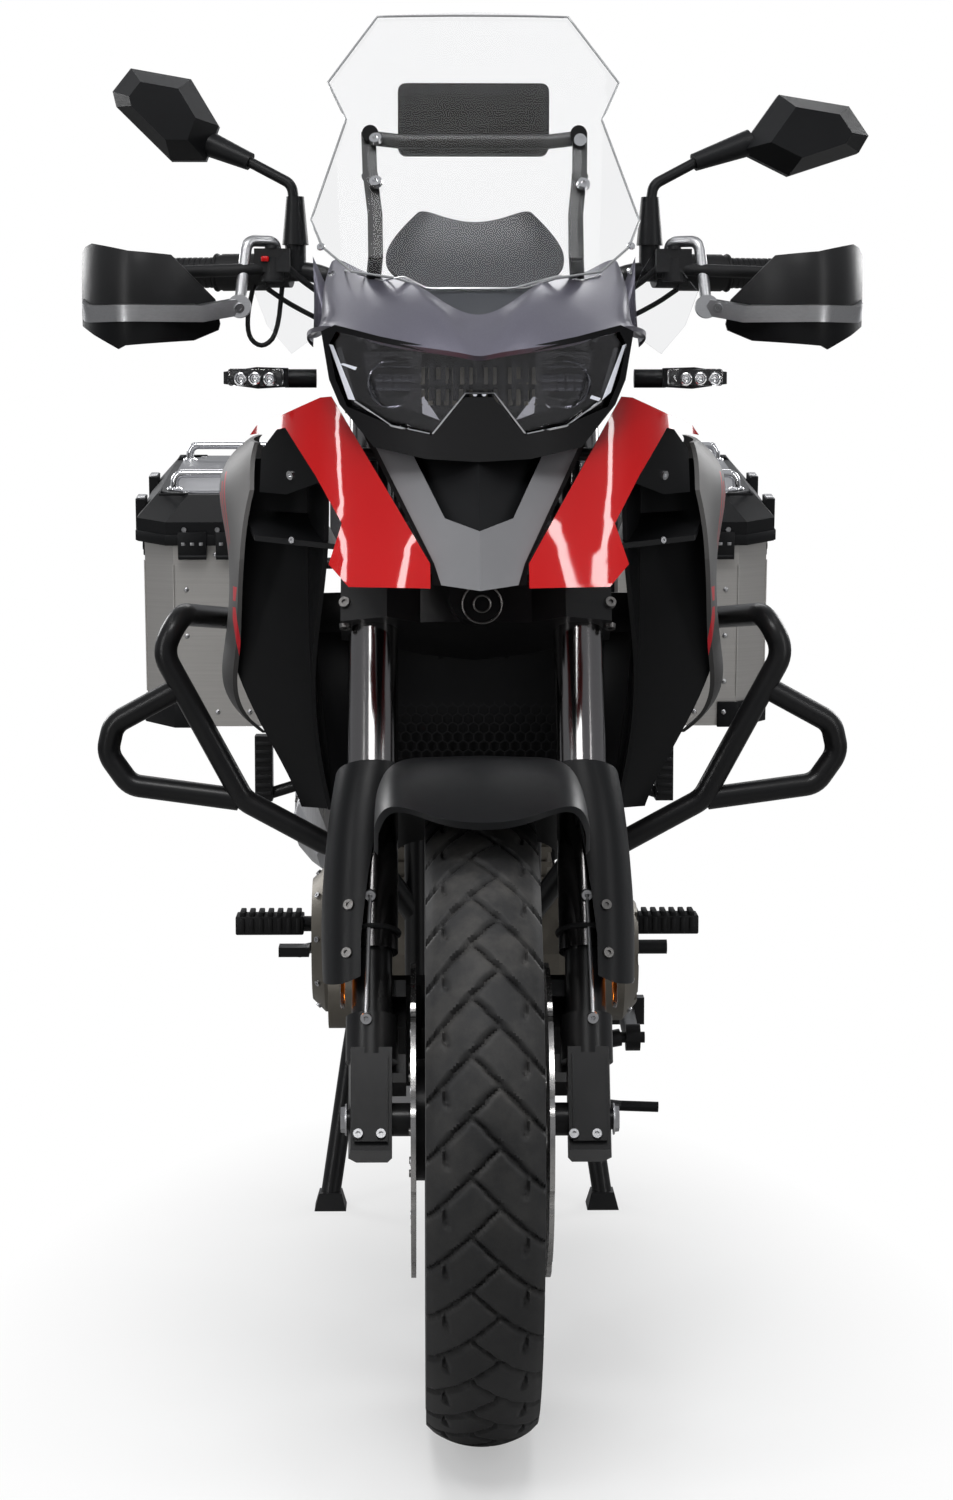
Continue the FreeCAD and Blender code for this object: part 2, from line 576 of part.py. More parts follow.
def fuel_tank(frame, motor):
    rows = [(-318, 70, 905, 1002), (-270, 128, 860, 1034), (-170, 168, 840, 1052), (-60, 166, 835, 1040), (30, 120, 840, 985), (92, 84, 845, 905)]
    sections = []
    for y, w, z0, z1 in rows:
        h = z1 - z0
        sections.append([(w * a, y, z0 + h * b) for a, b in
                         ((0.7, 0), (1, 0.25), (1.0, 0.55), (0.86, 0.82), (0.5, 0.97), (-0.5, 0.97), (-0.86, 0.82), (-1.0, 0.55), (-1, 0.25), (-0.7, 0))])
    body = loft(sections)
    cap = rod((0, -150, 1040), (0, -156, 1062), 38)
    return save("fuel_tank", [fuse([body, cap]).cut(Part.makeCompound([frame, motor]))])


def seat(frame, tank):
    rows = [(70, 74, 800, 868), (110, 96, 806, 856), (220, 138, 812, 850), (318, 150, 822, 862), (350, 134, 840, 902),
            (480, 128, 858, 924), (640, 104, 872, 934), (690, 88, 882, 926)]
    sections = []
    for y, w, z0, z1 in rows:
        h = z1 - z0
        sections.append([(w * a, y, z0 + h * b) for a, b in
                         ((0.9, 0), (1, 0.4), (0.94, 0.8), (0.7, 1), (-0.7, 1), (-0.94, 0.8), (-1, 0.4), (-0.9, 0))])
    body = loft(sections)
    return save("seat", [body.cut(Part.makeCompound([frame, tank]))])


def tail(frame, seat_body):
    rows = [(250, 112, 770, 815), (420, 116, 800, 858), (640, 104, 838, 882), (820, 84, 858, 900), (900, 56, 866, 896)]
    sections = []
    for y, w, z0, z1 in rows:
        h = z1 - z0
        sections.append([(w * a, y, z0 + h * b) for a, b in ((0.7, 0), (1, 0.5), (0.92, 1), (-0.92, 1), (-1, 0.5), (-0.7, 0))])
    body = loft(sections).cut(Part.makeCompound([frame, seat_body]))
    tail_body = save("tail_cowl", [body])
    slots = [box(x - 20, x + 20, 766, 858, 880, 960) for x in (-30, 30)]
    plate = plan_prism([(-84, 716), (84, 716), (100, 760), (96, 868), (70, 892), (-70, 892), (-96, 868), (-100, 760)], 930, 938)
    plate = plate.cut(Part.makeCompound(slots))
    rail = tube([(96, 470, 862), (114, 520, 902), (112, 720, 926), (92, 860, 934), (60, 886, 934)], 9, 30)
    post = [box(s * 62 - 9, s * 62 + 9, y, y + 24, 870, 932) for s in (-1, 1) for y in (734, 846)]
    holes = [rod((x, y, 900), (x, y, 960), RACK_HOLE_R) for x in (-70, 70) for y in (RACK_Y - 30, RACK_Y + 30)]
    rack = fuse([plate, rail, flip(rail)] + post).cut(Part.makeCompound(holes + [frame, body, seat_body]))
    rack_body = save("rear_rack", [rack])
    lamp = loft([[(-52, 896, 868), (52, 896, 868), (52, 896, 898), (-52, 896, 898)],
                 [(-60, 918, 862), (60, 918, 862), (56, 912, 902), (-56, 912, 902)]]).cut(body)
    save("tail_light", [lamp])
    arm = loft([[(-40, 860, 830), (40, 860, 830), (40, 880, 868), (-40, 880, 868)],
                [(-30, 1030, 700), (30, 1030, 700), (30, 1052, 716), (-30, 1052, 716)]])
    flap = loft([[(-30, 1030, 716), (30, 1030, 716), (30, 1054, 716), (-30, 1054, 716)],
                 [(-66, 1092, 560), (66, 1092, 560), (66, 1098, 560), (-66, 1098, 560)]])
    sign = side_prism([(1050, 730), (1056, 730), (REAR_END, 596), (REAR_END - 6, 596)], -92, 92)
    spine = side_prism([(1046, 724), (1052, 724), (1100, 606), (1088, 606)], -20, 20)
    cross = box(-128, 128, 1028, 1046, 716, 732)
    holder = fuse([arm, flap, spine, sign, cross]).cut(Part.makeCompound([body, lamp]))
    return tail_body, rack_body, save("plate_holder", [holder])


def swingarm(frame):
    sleeve = ring((-92, PIVOT_Y, PIVOT_Z), (76, PIVOT_Y, PIVOT_Z), 24, 9)
    arm = loft([
        [(62, PIVOT_Y, PIVOT_Z - 23), (76, PIVOT_Y, PIVOT_Z - 23), (76, PIVOT_Y, PIVOT_Z + 23), (62, PIVOT_Y, PIVOT_Z + 23)],
        [(80, PIVOT_Y + 60, PIVOT_Z - 28), (104, PIVOT_Y + 60, PIVOT_Z - 28), (104, PIVOT_Y + 60, PIVOT_Z + 16), (80, PIVOT_Y + 60, PIVOT_Z + 16)],
        [(107, PIVOT_Y + 120, PIVOT_Z - 34), (138, PIVOT_Y + 120, PIVOT_Z - 34), (138, PIVOT_Y + 120, PIVOT_Z + 20), (107, PIVOT_Y + 120, PIVOT_Z + 20)],
        [(110, REAR_Y - 60, REAR_Z - 22), (134, REAR_Y - 60, REAR_Z - 22), (134, REAR_Y - 60, REAR_Z + 30), (110, REAR_Y - 60, REAR_Z + 30)],
        [(110, REAR_Y + 62, REAR_Z - 20), (134, REAR_Y + 62, REAR_Z - 20), (134, REAR_Y + 62, REAR_Z + 20), (110, REAR_Y + 62, REAR_Z + 20)]])
    link = loft([
        [(-80, PIVOT_Y, PIVOT_Z - 22), (80, PIVOT_Y, PIVOT_Z - 22), (80, PIVOT_Y, PIVOT_Z + 22), (-80, PIVOT_Y, PIVOT_Z + 22)],
        [(-96, PIVOT_Y + 62, PIVOT_Z - 24), (96, PIVOT_Y + 62, PIVOT_Z - 24), (96, PIVOT_Y + 62, PIVOT_Z + 12), (-96, PIVOT_Y + 62, PIVOT_Z + 12)]])
    axle = rod((-142, REAR_Y, REAR_Z), (142, REAR_Y, REAR_Z), AXLE_R)
    spacer = rod((CHAIN_X + 6, REAR_Y, REAR_Z), (114, REAR_Y, REAR_Z), 17)
    spacer2 = rod((-114, REAR_Y, REAR_Z), (-CHAIN_X - 6, REAR_Y, REAR_Z), 17)
    caliper = sector(-114, -76, 82, 136, 118, 150, REAR_Y, REAR_Z)
    caliper = caliper.cut(ring((-CHAIN_X - 6, REAR_Y, REAR_Z), (-CHAIN_X + 6, REAR_Y, REAR_Z), 126, 40))
    hanger = side_prism([(REAR_Y - 112, REAR_Z + 50), (REAR_Y - 60, REAR_Z + 100), (REAR_Y + 22, REAR_Z + 12), (REAR_Y - 10, REAR_Z - 20)], -111, -103)
    body = fuse([sleeve, arm, flip(arm), link, axle, spacer, spacer2, caliper, hanger])
    inner = rod((-120, PIVOT_Y, PIVOT_Z), (120, PIVOT_Y, PIVOT_Z), 9)
    return save("swingarm", [body.cut(Part.makeCompound([frame, inner]))])


def hugger(arm_body):
    rows = []
    for a in (-62, -40, -18, 4):
        c = math.cos(math.radians(a))
        s = math.sin(math.radians(a))
        rows.append([(x, REAR_Y + (REAR_R + 26 + g) * s, REAR_Z + (REAR_R + 26 + g) * c)
                     for x, g in ((-84, -46), (-70, -8), (-34, 8), (0, 12), (34, 8), (70, -8), (84, -46))])
    shell = skin(rows, 4, (0, 0.4, -0.9))
    leg = tube([(122, 470, 380), (120, 446, 470), (74, 440, 560)], 6, 30)
    return save("hugger", [largest(fuse([shell, leg, flip(leg)]).cut(arm_body))])


def rear_shock(frame, arm_body):
    low = (0, 296, 430)
    top = (0, 196, 620)
    spring = []
    axis = V(*top) - V(*low)
    for i in range(9):
        p = V(*low) + axis * (0.2 + 0.075 * i)
        ring_ = Part.makeTorus(33, 6, p, axis.cross(V(1, 0, 0)).cross(V(1, 0, 0)) * -1 + V(0, 0, 0))
        spring.append(ring_)
    damper = rod(low, top, 20)
    cup1 = rod(tuple(V(*low) + axis * 0.12), tuple(V(*low) + axis * 0.19), 40)
    cup2 = rod(tuple(V(*low) + axis * 0.81), tuple(V(*low) + axis * 0.88), 40)
    rings = [rod(tuple(V(*low) + axis * (0.2 + 0.068 * i)), tuple(V(*low) + axis * (0.235 + 0.068 * i)), 37) for i in range(9)]
    eye = rod((-22, low[1], low[2]), (22, low[1], low[2]), 16)
    foot = box(-20, 20, 236, 300, 398, 430)
    eye2 = rod((-22, top[1], top[2]), (22, top[1], top[2]), 16)
    mount = rod((-118, 150, 600), (118, 150, 600), 10)
    arm = box(-18, 18, 146, 200, 590, 630)
    return save("rear_shock", [fuse([damper, cup1, cup2, eye, foot, eye2, mount, arm] + rings).cut(Part.makeCompound([frame, arm_body]))])


def chain():
    dist = math.hypot(REAR_Y - DRIVE_Y, REAR_Z - DRIVE_Z)
    base = math.atan2(REAR_Z - DRIVE_Z, REAR_Y - DRIVE_Y)
    lean = math.pi / 2 + math.asin((SPROCKET_R - DRIVE_R) / dist)
    run = math.sqrt(dist ** 2 - (SPROCKET_R - DRIVE_R) ** 2)
    straight = round(run / CHAIN_PITCH)

    def along(grow, notch):
        points = []
        rear_arc = 2 * lean
        count = 2 * round(SPROCKET_R * rear_arc / CHAIN_PITCH)
        for i in range(count):
            r = SPROCKET_R + grow - (notch if i % 2 else 0)
            angle = base + lean - rear_arc * i / count
            points.append((REAR_Y + r * math.cos(angle), REAR_Z + r * math.sin(angle)))
        for i in range(2 * straight):
            r = grow - (notch if i % 2 else 0)
            share = i / (2 * straight)
            span = SPROCKET_R + (DRIVE_R - SPROCKET_R) * share + r
            angle = base - lean
            points.append((REAR_Y + (DRIVE_Y - REAR_Y) * share + span * math.cos(angle),
                           REAR_Z + (DRIVE_Z - REAR_Z) * share + span * math.sin(angle)))
        front_arc = 2 * math.pi - rear_arc
        count = 2 * round(DRIVE_R * front_arc / CHAIN_PITCH)
        for i in range(count):
            r = DRIVE_R + grow - (notch if i % 2 else 0)
            angle = base - lean - front_arc * i / count
            points.append((DRIVE_Y + r * math.cos(angle), DRIVE_Z + r * math.sin(angle)))
        for i in range(2 * straight):
            r = grow - (notch if i % 2 else 0)
            share = i / (2 * straight)
            span = DRIVE_R + (SPROCKET_R - DRIVE_R) * share + r
            angle = base + lean
            points.append((DRIVE_Y + (REAR_Y - DRIVE_Y) * share + span * math.cos(angle),
                           DRIVE_Z + (REAR_Z - DRIVE_Z) * share + span * math.sin(angle)))
        return points

    def band(x0, x1, high, low, notch):
        return side_prism(along(high, notch), x0, x1).cut(side_prism(along(low, 0), x0 - 1, x1 + 1))

    half = CHAIN_WIDTH / 2
    plates = [band(CHAIN_X - half, CHAIN_X - half + 3, 7.5, -4.2, 2.5), band(CHAIN_X + half - 3, CHAIN_X + half, 7.5, -4.2, 2.5)]
    rollers = band(CHAIN_X - half + 1, CHAIN_X + half - 1, 4.2, -4.2, 1.6)
    return save("chain", [fuse(plates + [rollers])])


def crash_bars(frame):
    main = tube([(66, -340, 470), (116, -386, 548), (170, -384, 562), (214, -384, 586), (262, -384, 612), (352, -388, 780), (334, -384, 824), (288, -172, 806), (116, -104, 798)], 13, 34)
    wing_bar = tube([(330, -384, 742), (410, -372, 698), (418, -368, 664), (392, -372, 628), (268, -380, 612)], 13, 26)
    bars = largest(fuse([main, wing_bar]).cut(frame))
    return save("crash_bars", pair(bars))


def centre_stand(frame):
    leg = tube([(140, STAND_Y, STAND_Z), (154, 196, 200), (181, 160, 18)], 13, 60)
    eye = ring((126, STAND_Y, STAND_Z), (154, STAND_Y, STAND_Z), 2 * STAND_PIN_R, STAND_PIN_R + PIN_FIT)
    foot = loft([[(160, 138, 0), (202, 138, 0), (202, 186, 0), (160, 186, 0)],
                 [(166, 146, 22), (196, 146, 22), (196, 178, 22), (166, 178, 22)]])
    half = [leg, eye, foot]
    cross = rod((-158, 190, 172), (158, 190, 172), 10)
    tang = tube([(164, 184, 136), (206, 198, 128), (258, 198, 126)], 7, 14)
    body = fuse(half + [flip(h) for h in half] + [cross, tang])
    return save("centre_stand", [body.cut(rod((-170, STAND_Y, STAND_Z), (170, STAND_Y, STAND_Z), STAND_PIN_R + PIN_FIT))])


def side_stand():
    eye = ring((198, SIDE_Y, SIDE_Z), (216, SIDE_Y, SIDE_Z), 17, SIDE_PIN_R + PIN_FIT)
    leg = tube([(207, SIDE_Y, SIDE_Z), (209, 60, 262), (214, 196, 258)], 11, 60)
    foot = box(192, 238, 190, 214, 240, 276)
    return save("side_stand", [fuse([eye, leg, foot]).cut(rod((190, SIDE_Y, SIDE_Z), (230, SIDE_Y, SIDE_Z), SIDE_PIN_R + PIN_FIT))])


def cases(racks):
    for name, cx, out in (("pannier_left", CASE_LEFT_X, 1), ("pannier_right", CASE_RIGHT_X, -1)):
        w = CASE_W / 2
        length = CASE_L / 2
        c = CASE_CHAMFER
        outline = [(-w * out, -length), (out * (w - c), -length), (out * w, -length + c), (out * w, length - c), (out * (w - c), length), (-w * out, length)]
        t = CASE_WALL
        hollow = [(-(w - t) * out, -length + t), (out * (w - c - t * 0.4), -length + t), (out * (w - t), -length + c + t * 0.4),
                  (out * (w - t), length - c - t * 0.4), (out * (w - c - t * 0.4), length - t), (-(w - t) * out, length - t)]
        case = plan_prism(outline, 0, CASE_H).cut(plan_prism(hollow, t, CASE_H + 5))
        hinge_x = -(w + LID_LIP) * out
        def barrel(y0, y1, r):
            return rod((hinge_x, y0, CASE_H), (hinge_x, y1, CASE_H), r)
        def grow(pts, d):
            return [(x + d * (1 if x > 0 else -1), y + d * (1 if y > 0 else -1)) for x, y in pts]
        band_out = grow(outline, LID_LIP)
        band_in = grow(outline, -t)
        band = plan_prism(band_out, CASE_H, CASE_H + 32)
        crown = loft([[(x, y, CASE_H + 32) for x, y in band_out],
                      [(x - (30 * out if x * out > 0 else 0), y * 0.9, CASE_H + 66) for x, y in band_out]])
        pocket = plan_prism(band_in, CASE_H - 1, CASE_H + 28)
        top = fuse([band, crown]).cut(pocket)
        rails = []
        for y in (-150, 150):
            rails.append(tube([(-60 * out, y, CASE_H + 60), (-60 * out, y, CASE_H + 88), (62 * out, y, CASE_H + 88), (62 * out, y, CASE_H + 60)], 5, 12))
        latches = [box(min(out * (w + 2), out * (w + 15)), max(out * (w + 2), out * (w + 15)), y - 22, y + 22, CASE_H + 6, CASE_H + 50) for y in (-110, 110)]
        lugs = []
        knuckles = []
        bores = []
        for y in (-HINGE_Y, HINGE_Y):
            near = HINGE_LUG / 2
            far = near + 1 + HINGE_KNUCKLE
            lugs.append(barrel(y - near, y + near, HINGE_R))
            lugs.append(barrel(y - far, y + far, HINGE_PIN_R))
            lugs.append(box(min(hinge_x, (1 - w) * out), max(hinge_x, (1 - w) * out), y - near, y + near, CASE_H - 16, CASE_H - 2))
            knuckles += [barrel(y - far, y - near - 1, HINGE_R), barrel(y + near + 1, y + far, HINGE_R)]
            bores += [barrel(y - far - 1, y + far + 1, HINGE_PIN_R + PIN_FIT), barrel(y - near - 1, y + near + 1, HINGE_R + 1.5)]
        case = fuse([case] + lugs)
        lid = fuse([top] + rails + latches + knuckles).cut(group(*bores))
        for shape, label in ((case, name), (lid, name.replace("pannier", "lid"))):
            shape.rotate(V(0, 0, 0), V(1, 0, 0), CASE_TILT)
            shape.translate(V(cx, CASE_Y, CASE_Z))
            save(label, [shape])


def racks(frame, cowl, rack, cushion):
    bodies = []
    for out, x in ((1, CASE_LEFT_X - CASE_W / 2 - 10), (-1, CASE_RIGHT_X + CASE_W / 2 + 10)):
        hoop = tube([(x, 420, 690), (x, 420, 850), (x, 700, 884), (x, 700, 724)], 9, 24)
        foot = rod((x, 420, 698), (x, 700, 732), 9)
        legs = [rod((out * 100, 430, 846), (x, 430, 846), 8), rod((out * 82, 690, 868), (x, 690, 876), 8)]
        lower = rod((out * 94, 500, 742), (x, 440, 704), 8)
        pads = [box(min(x, x + out * 10), max(x, x + out * 10), y - 12, y + 12, z - 14, z + 14) for y, z in ((420, 820), (700, 850), (440, 702), (690, 732))]
        whole = fuse([hoop, foot, lower] + legs + pads)
        bodies.append(largest(whole.cut(group(frame, cowl, rack, cushion))))
    return save("pannier_racks", bodies)


def footrests(frame, motor):
    hanger = side_prism([(60, 352), (150, 352), (176, 430), (120, 440), (60, 410)], 116, 128)
    post = rod((120, 99, 392), (214, 99, 392), 10)
    peg = box(212, 298, 80, 118, 382, 404)
    teeth = [box(216 + i * 12, 222 + i * 12, 80, 118, 404, 409) for i in range(7)]
    rear = tube([(104, 330, 600), (180, 350, 560), (272, 369, 530)], 8, 30)
    peg2 = box(264, 288, 352, 388, 522, 612)
    half = fuse([hanger, post, peg] + teeth)
    back = fuse([rear, peg2])
    lever = tube([(128, 120, 372), (208, 60, 366), (216, -30, 380)], 6, 20).fuse(rod((210, -30, 382), (250, -30, 382), 9))
    pedal = tube([(-128, 120, 372), (-206, 60, 366), (-212, -50, 380)], 7, 20).fuse(box(-238, -200, -66, -34, 376, 388))
    left = fuse([half, lever])
    right = fuse([flip(half), pedal])
    return save("footrests", [s.cut(Part.makeCompound([frame, motor])) for s in (left, right, back, flip(back))])


def bash_plate(frame):
    plate = side_prism([(-352, 330), (-356, 330), (-300, 226), (110, 226), (110, 230), (-298, 230)], -96, 96)
    return save("bash_plate", [plate.cut(frame)])


# Fairing. Depths are measured back from the front axle.

def back(depth):
    return FRONT_Y + depth


def field(depth, xs, zs):
    return [[(x, back(depth(x, z)), z) for x in xs] for z in zs]


def mirrored(rows):
    return [[(-x, y, z) for x, y, z in reversed(row) if x > 0.01] + row for row in rows]


def lens_depth(x, z):
    return 50 + 0.0038 * x * x + 0.28 * (1106 - z)


def beak_depth(x, z):
    return 10 + 0.69 * (z - 930) + 0.85 * x


def wing_depth(x, z):
    turn = max(x - 165, 0)
    return 20 + 0.385 * (x - 50) + 0.77 * (z - 897) + 0.0175 * turn * turn


LENS = [(0, 1104), (50, 1110), (101, 1121), (147, 1133), (155, 1120), (148, 1084), (136, 1056), (91, 1037), (48, 1026), (14, 1065)]
BEZEL = [(0, 1110), (50, 1116), (101, 1127), (148, 1140), (163, 1134), (155, 1084), (144, 1058), (108, 1014), (54, 1002), (0, 999)]


def headlight(frame):
    xs = [-170, -110, -55, 0, 55, 110, 170]
    zs = [990, 1030, 1070, 1110, 1150]
    solid = skin(field(lambda x, z: lens_depth(abs(x), z) - 6, xs, zs), 84)
    bezel = solid.common(front_prism(both_sides(BEZEL), back(-60), back(400)))
    opening = front_prism(both_sides(LENS), back(-60), back(400))
    pocket = skin(field(lambda x, z: lens_depth(abs(x), z) - 20, xs, zs), 64).common(opening)
    bezel = bezel.cut(group(pocket, frame))
    save("headlight_housing", [bezel])
    lens = skin(field(lambda x, z: lens_depth(abs(x), z), xs, zs), 4).common(opening)
    lens_body = save("headlight_lens", [lens])
    ribs = []
    for i in range(9):
        x = -48 + 12 * i
        ribs.append(box(x - 2.5, x + 2.5, back(70), back(112), 1062, 1102))
    shelf = box(-52, 52, back(76), back(130), 1078, 1084)
    bowl = front_prism([(58, 1048), (112, 1066), (118, 1112), (58, 1112)], back(60), back(180))
    cup = rod((86, back(60), 1086), (86, back(126), 1086), 22)
    bowls = bowl.cut(cup)
    floor = skin(field(lambda x, z: lens_depth(abs(x), z) + 40, xs, zs), 4).common(opening)
    strip = front_prism([(128, 1070), (134, 1072), (149, 1116), (141, 1118)], back(60), back(180))
    room = skin(field(lambda x, z: lens_depth(abs(x), z) + 14, xs, zs), 30).common(opening)
    core = fuse(ribs + [shelf]).common(room)
    bowls = bowls.common(room)
    strips = strip.common(room)
    optics = fuse([floor, core] + pair(bowls) + pair(strips))
    save("headlight_reflectors", [largest(optics)])
    return bezel, lens_body


def front_cowl(bezel, lens, screen):
    brow = [(0, 1106, 30), (18, 1109, 33), (62, 1116, 54), (112, 1127, 88), (152, 1139, 132), (174, 1124, 215)]
    mid = [(0, 1128, 62), (30, 1142, 74), (72, 1158, 120), (126, 1166, 180), (164, 1166, 235), (175, 1168, 285)]
    top = [(0, 1150, 105), (46, 1172, 150), (84, 1194, 232), (124, 1204, 285), (158, 1208, 310), (178, 1222, 340)]
    rows = mirrored([[(x, back(d), z) for x, z, d in row] for row in (brow, mid, top)])
    hood = skin(rows, 7, (0, 0.75, -0.66))
    cheek_rows = [[(x, back(d), z) for x, z, d in row] for row in (
        [(156, 1128, 172), (168, 1142, 240), (170, 1196, 326)],
        [(158, 1108, 156), (175, 1108, 214), (180, 1116, 304)],
        [(146, 1072, 150), (168, 1078, 214), (178, 1082, 300)],
        [(132, 1046, 140), (160, 1052, 214), (172, 1056, 300)])]
    cheek = skin(cheek_rows, 8, (-1, 0.25, 0))
    body = fuse([hood, cheek, flip(cheek)]).cut(group(bezel, lens, screen))
    return save("front_cowl", [largest(body)])


def nose_panel(cowl, bezel, screen):
    sections = [
        [(0, 1104, 24), (9, 1105, 26), (19, 1108, 32)],
        [(0, 1142, 92), (11, 1143, 96), (23, 1145, 106)],
        [(0, 1186, 202), (42, 1190, 214), (84, 1196, 246)],
        [(0, 1224, 262), (48, 1229, 272), (95, 1227, 302)],
        [(0, 1256, 294), (34, 1262, 298), (62, 1267, 306)]]
    rows = mirrored([[(x, back(d), z) for x, z, d in row] for row in sections])
    shell = skin(rows, 5, (0, 0.7, -0.7))
    return save("nose_panel", [largest(shell.cut(group(cowl, bezel, screen)))])


def beak(bezel):
    xs = [-130, -80, -40, 0]
    zs = [850, 900, 960, 1050]
    def plate(gap, depth):
        return skin(field(lambda x, z: beak_depth(-x, z) + gap, xs, zs), depth)
    def trimmed(gap, depth, outline):
        half = plate(gap, depth).common(front_prism([(-x, z) for x, z in outline], back(-200), back(400)))
        return [half, flip(half)]
    face_ = [(0, 872), (39, 876), (46, 897), (110, 1020), (67, 1005), (35, 942), (0, 930)]
    lip = [(0, 872), (39, 876), (39, 882), (0, 878)]
    beak_body = fuse(trimmed(0, 6, face_) + trimmed(0, 40, lip)).cut(bezel)
    beak_body = save("beak", [largest(beak_body)])
    edge = [(39, 875), (48, 875), (50, 897), (124, 1034), (104, 1016), (40, 897)]
    wall = [(0, 928), (36, 940), (68, 1004), (73, 1002), (41, 936), (0, 923)]
    inner = [(0, 923), (41, 936), (73, 1002), (66, 1012), (0, 1006)]
    liner = fuse(trimmed(9, 6, edge) + trimmed(6, 20, wall) + trimmed(20, 6, inner)
                 + trimmed(6, 8, [(0, 884), (42, 890), (112, 1018), (72, 1008), (38, 936), (0, 926)]))
    save("beak_liner", [largest(liner.cut(group(beak_body, bezel)))])
    return beak_body


def red_wings(nose, cowl, bezel):
    xs = [20, 65, 110, 155, 200, 245, 275]
    zs = [860, 900, 950, 1000, 1040, 1085]
    sheet = skin(field(wing_depth, xs, zs), 8)
    outline = [(50, 873), (133, 873), (154, 895), (141, 936), (170, 985), (204, 1034), (247, 1026), (240, 1036),
               (212, 1046), (166, 1066), (154, 1067), (50, 897)]
    plate = sheet.common(front_prism(outline, back(-200), back(500)))
    lip = skin(field(wing_depth, xs, zs), 46).common(
        front_prism([(50, 873), (133, 873), (154, 895), (150, 897), (131, 878), (50, 878)], back(-200), back(500)))
    body = fuse([plate, lip]).cut(group(nose, cowl, bezel))
    return save("red_wings", pair(largest(body)))


def side_panels():
    spans = {1026: (226, 242, 246, 228, 184), 960: (240, 268, 289, 262, 190), 905: (252, 268, 281, 256, 188),
             790: (240, 268, 284, 258, 184), 690: (212, 232, 242, 222, 170)}
    ys = (-500, -440, -345, -200, -40)
    rows = [[(x, y, z) for x, y in zip(spans[z], ys)] for z in sorted(spans)]
    sheet = skin(rows, 5, (-1, 0, 0))
    outline = [(-462, 1018), (-484, 966), (-478, 890), (-446, 790), (-398, 690), (-372, 696), (-300, 770),
               (-170, 850), (-44, 905), (-44, 960), (-160, 1004), (-330, 1026)]
    plate = sheet.common(side_prism(outline, 0, 400))
    return save("side_panels", pair(plate))


def inner_shrouds(panels, frame, bars, wings):
    shelf = loft([
        [(148, -556, 903), (241, -500, 911), (241, -500, 917), (148, -556, 909)],
        [(172, -420, 938), (262, -420, 942), (262, -420, 948), (172, -420, 944)]])
    collar_rows = [[(146, -588, 1040), (190, -566, 1042), (232, -512, 1044)],
                   [(140, -596, 1000), (186, -558, 1000), (236, -496, 1002)],
                   [(138, -590, 960), (190, -540, 960), (242, -484, 960)]]
    collar = skin(collar_rows, 5).common(
        front_prism([(140, 986), (150, 1004), (208, 1040), (233, 1010), (236, 964), (205, 962)], -640, -440))
    roof = loft([
        [(150, -580, 984), (232, -494, 984), (232, -494, 991), (150, -580, 991)],
        [(178, -352, 985), (240, -352, 1000), (240, -352, 1008), (178, -352, 994)]])
    wall_rows = [[(160, -519, 1012), (178, -451, 1012), (180, -351, 1004)],
                 [(160, -541, 900), (178, -461, 900), (180, -351, 900)],
                 [(176, -481, 760), (178, -431, 760), (180, -351, 760)],
                 [(160, -415, 604), (162, -391, 604), (164, -341, 604)]]
    wall = skin(wall_rows, 5, (1, 0, 0))
    front_rows = [[(176, -440, 1000), (210, -436, 1000), (250, -430, 1000)],
                  [(176, -442, 900), (220, -438, 900), (276, -430, 900)],
                  [(176, -441, 800), (220, -436, 800), (276, -426, 800)],
                  [(168, -425, 700), (200, -421, 700), (240, -409, 700)],
                  [(160, -409, 604), (176, -397, 604), (196, -385, 604)]]
    front = skin(front_rows, 5, (0, 1, 0))
    body = fuse([shelf, collar, roof, wall, front]).cut(group(panels, frame, bars, wings))
    return save("inner_shrouds", pair(largest(body)))


def screen_depth(x, z):
    return 180 + 0.755 * (z - 1177) + 25 * (x / 160) ** 2


SCREEN = [(0, 1177), (52, 1179), (84, 1190), (134, 1198), (166, 1226), (179, 1256), (142, 1371), (163, 1416), (108, 1494), (0, 1497)]


def windscreen():
    xs = [-200, -130, -65, 0, 65, 130, 200]
    zs = [1150, 1240, 1330, 1420, 1520]
    sheet = skin(field(screen_depth, xs, zs), 4.5)
    clear = sheet.common(front_prism(both_sides(SCREEN), back(-100), back(800)))
    holes = [rod((s * 114, back(300), z), (s * 114, back(500), z), 5) for s in (-1, 1) for z in (1354, 1306)]
    clear = clear.cut(group(*holes))
    return save("windscreen", [clear])


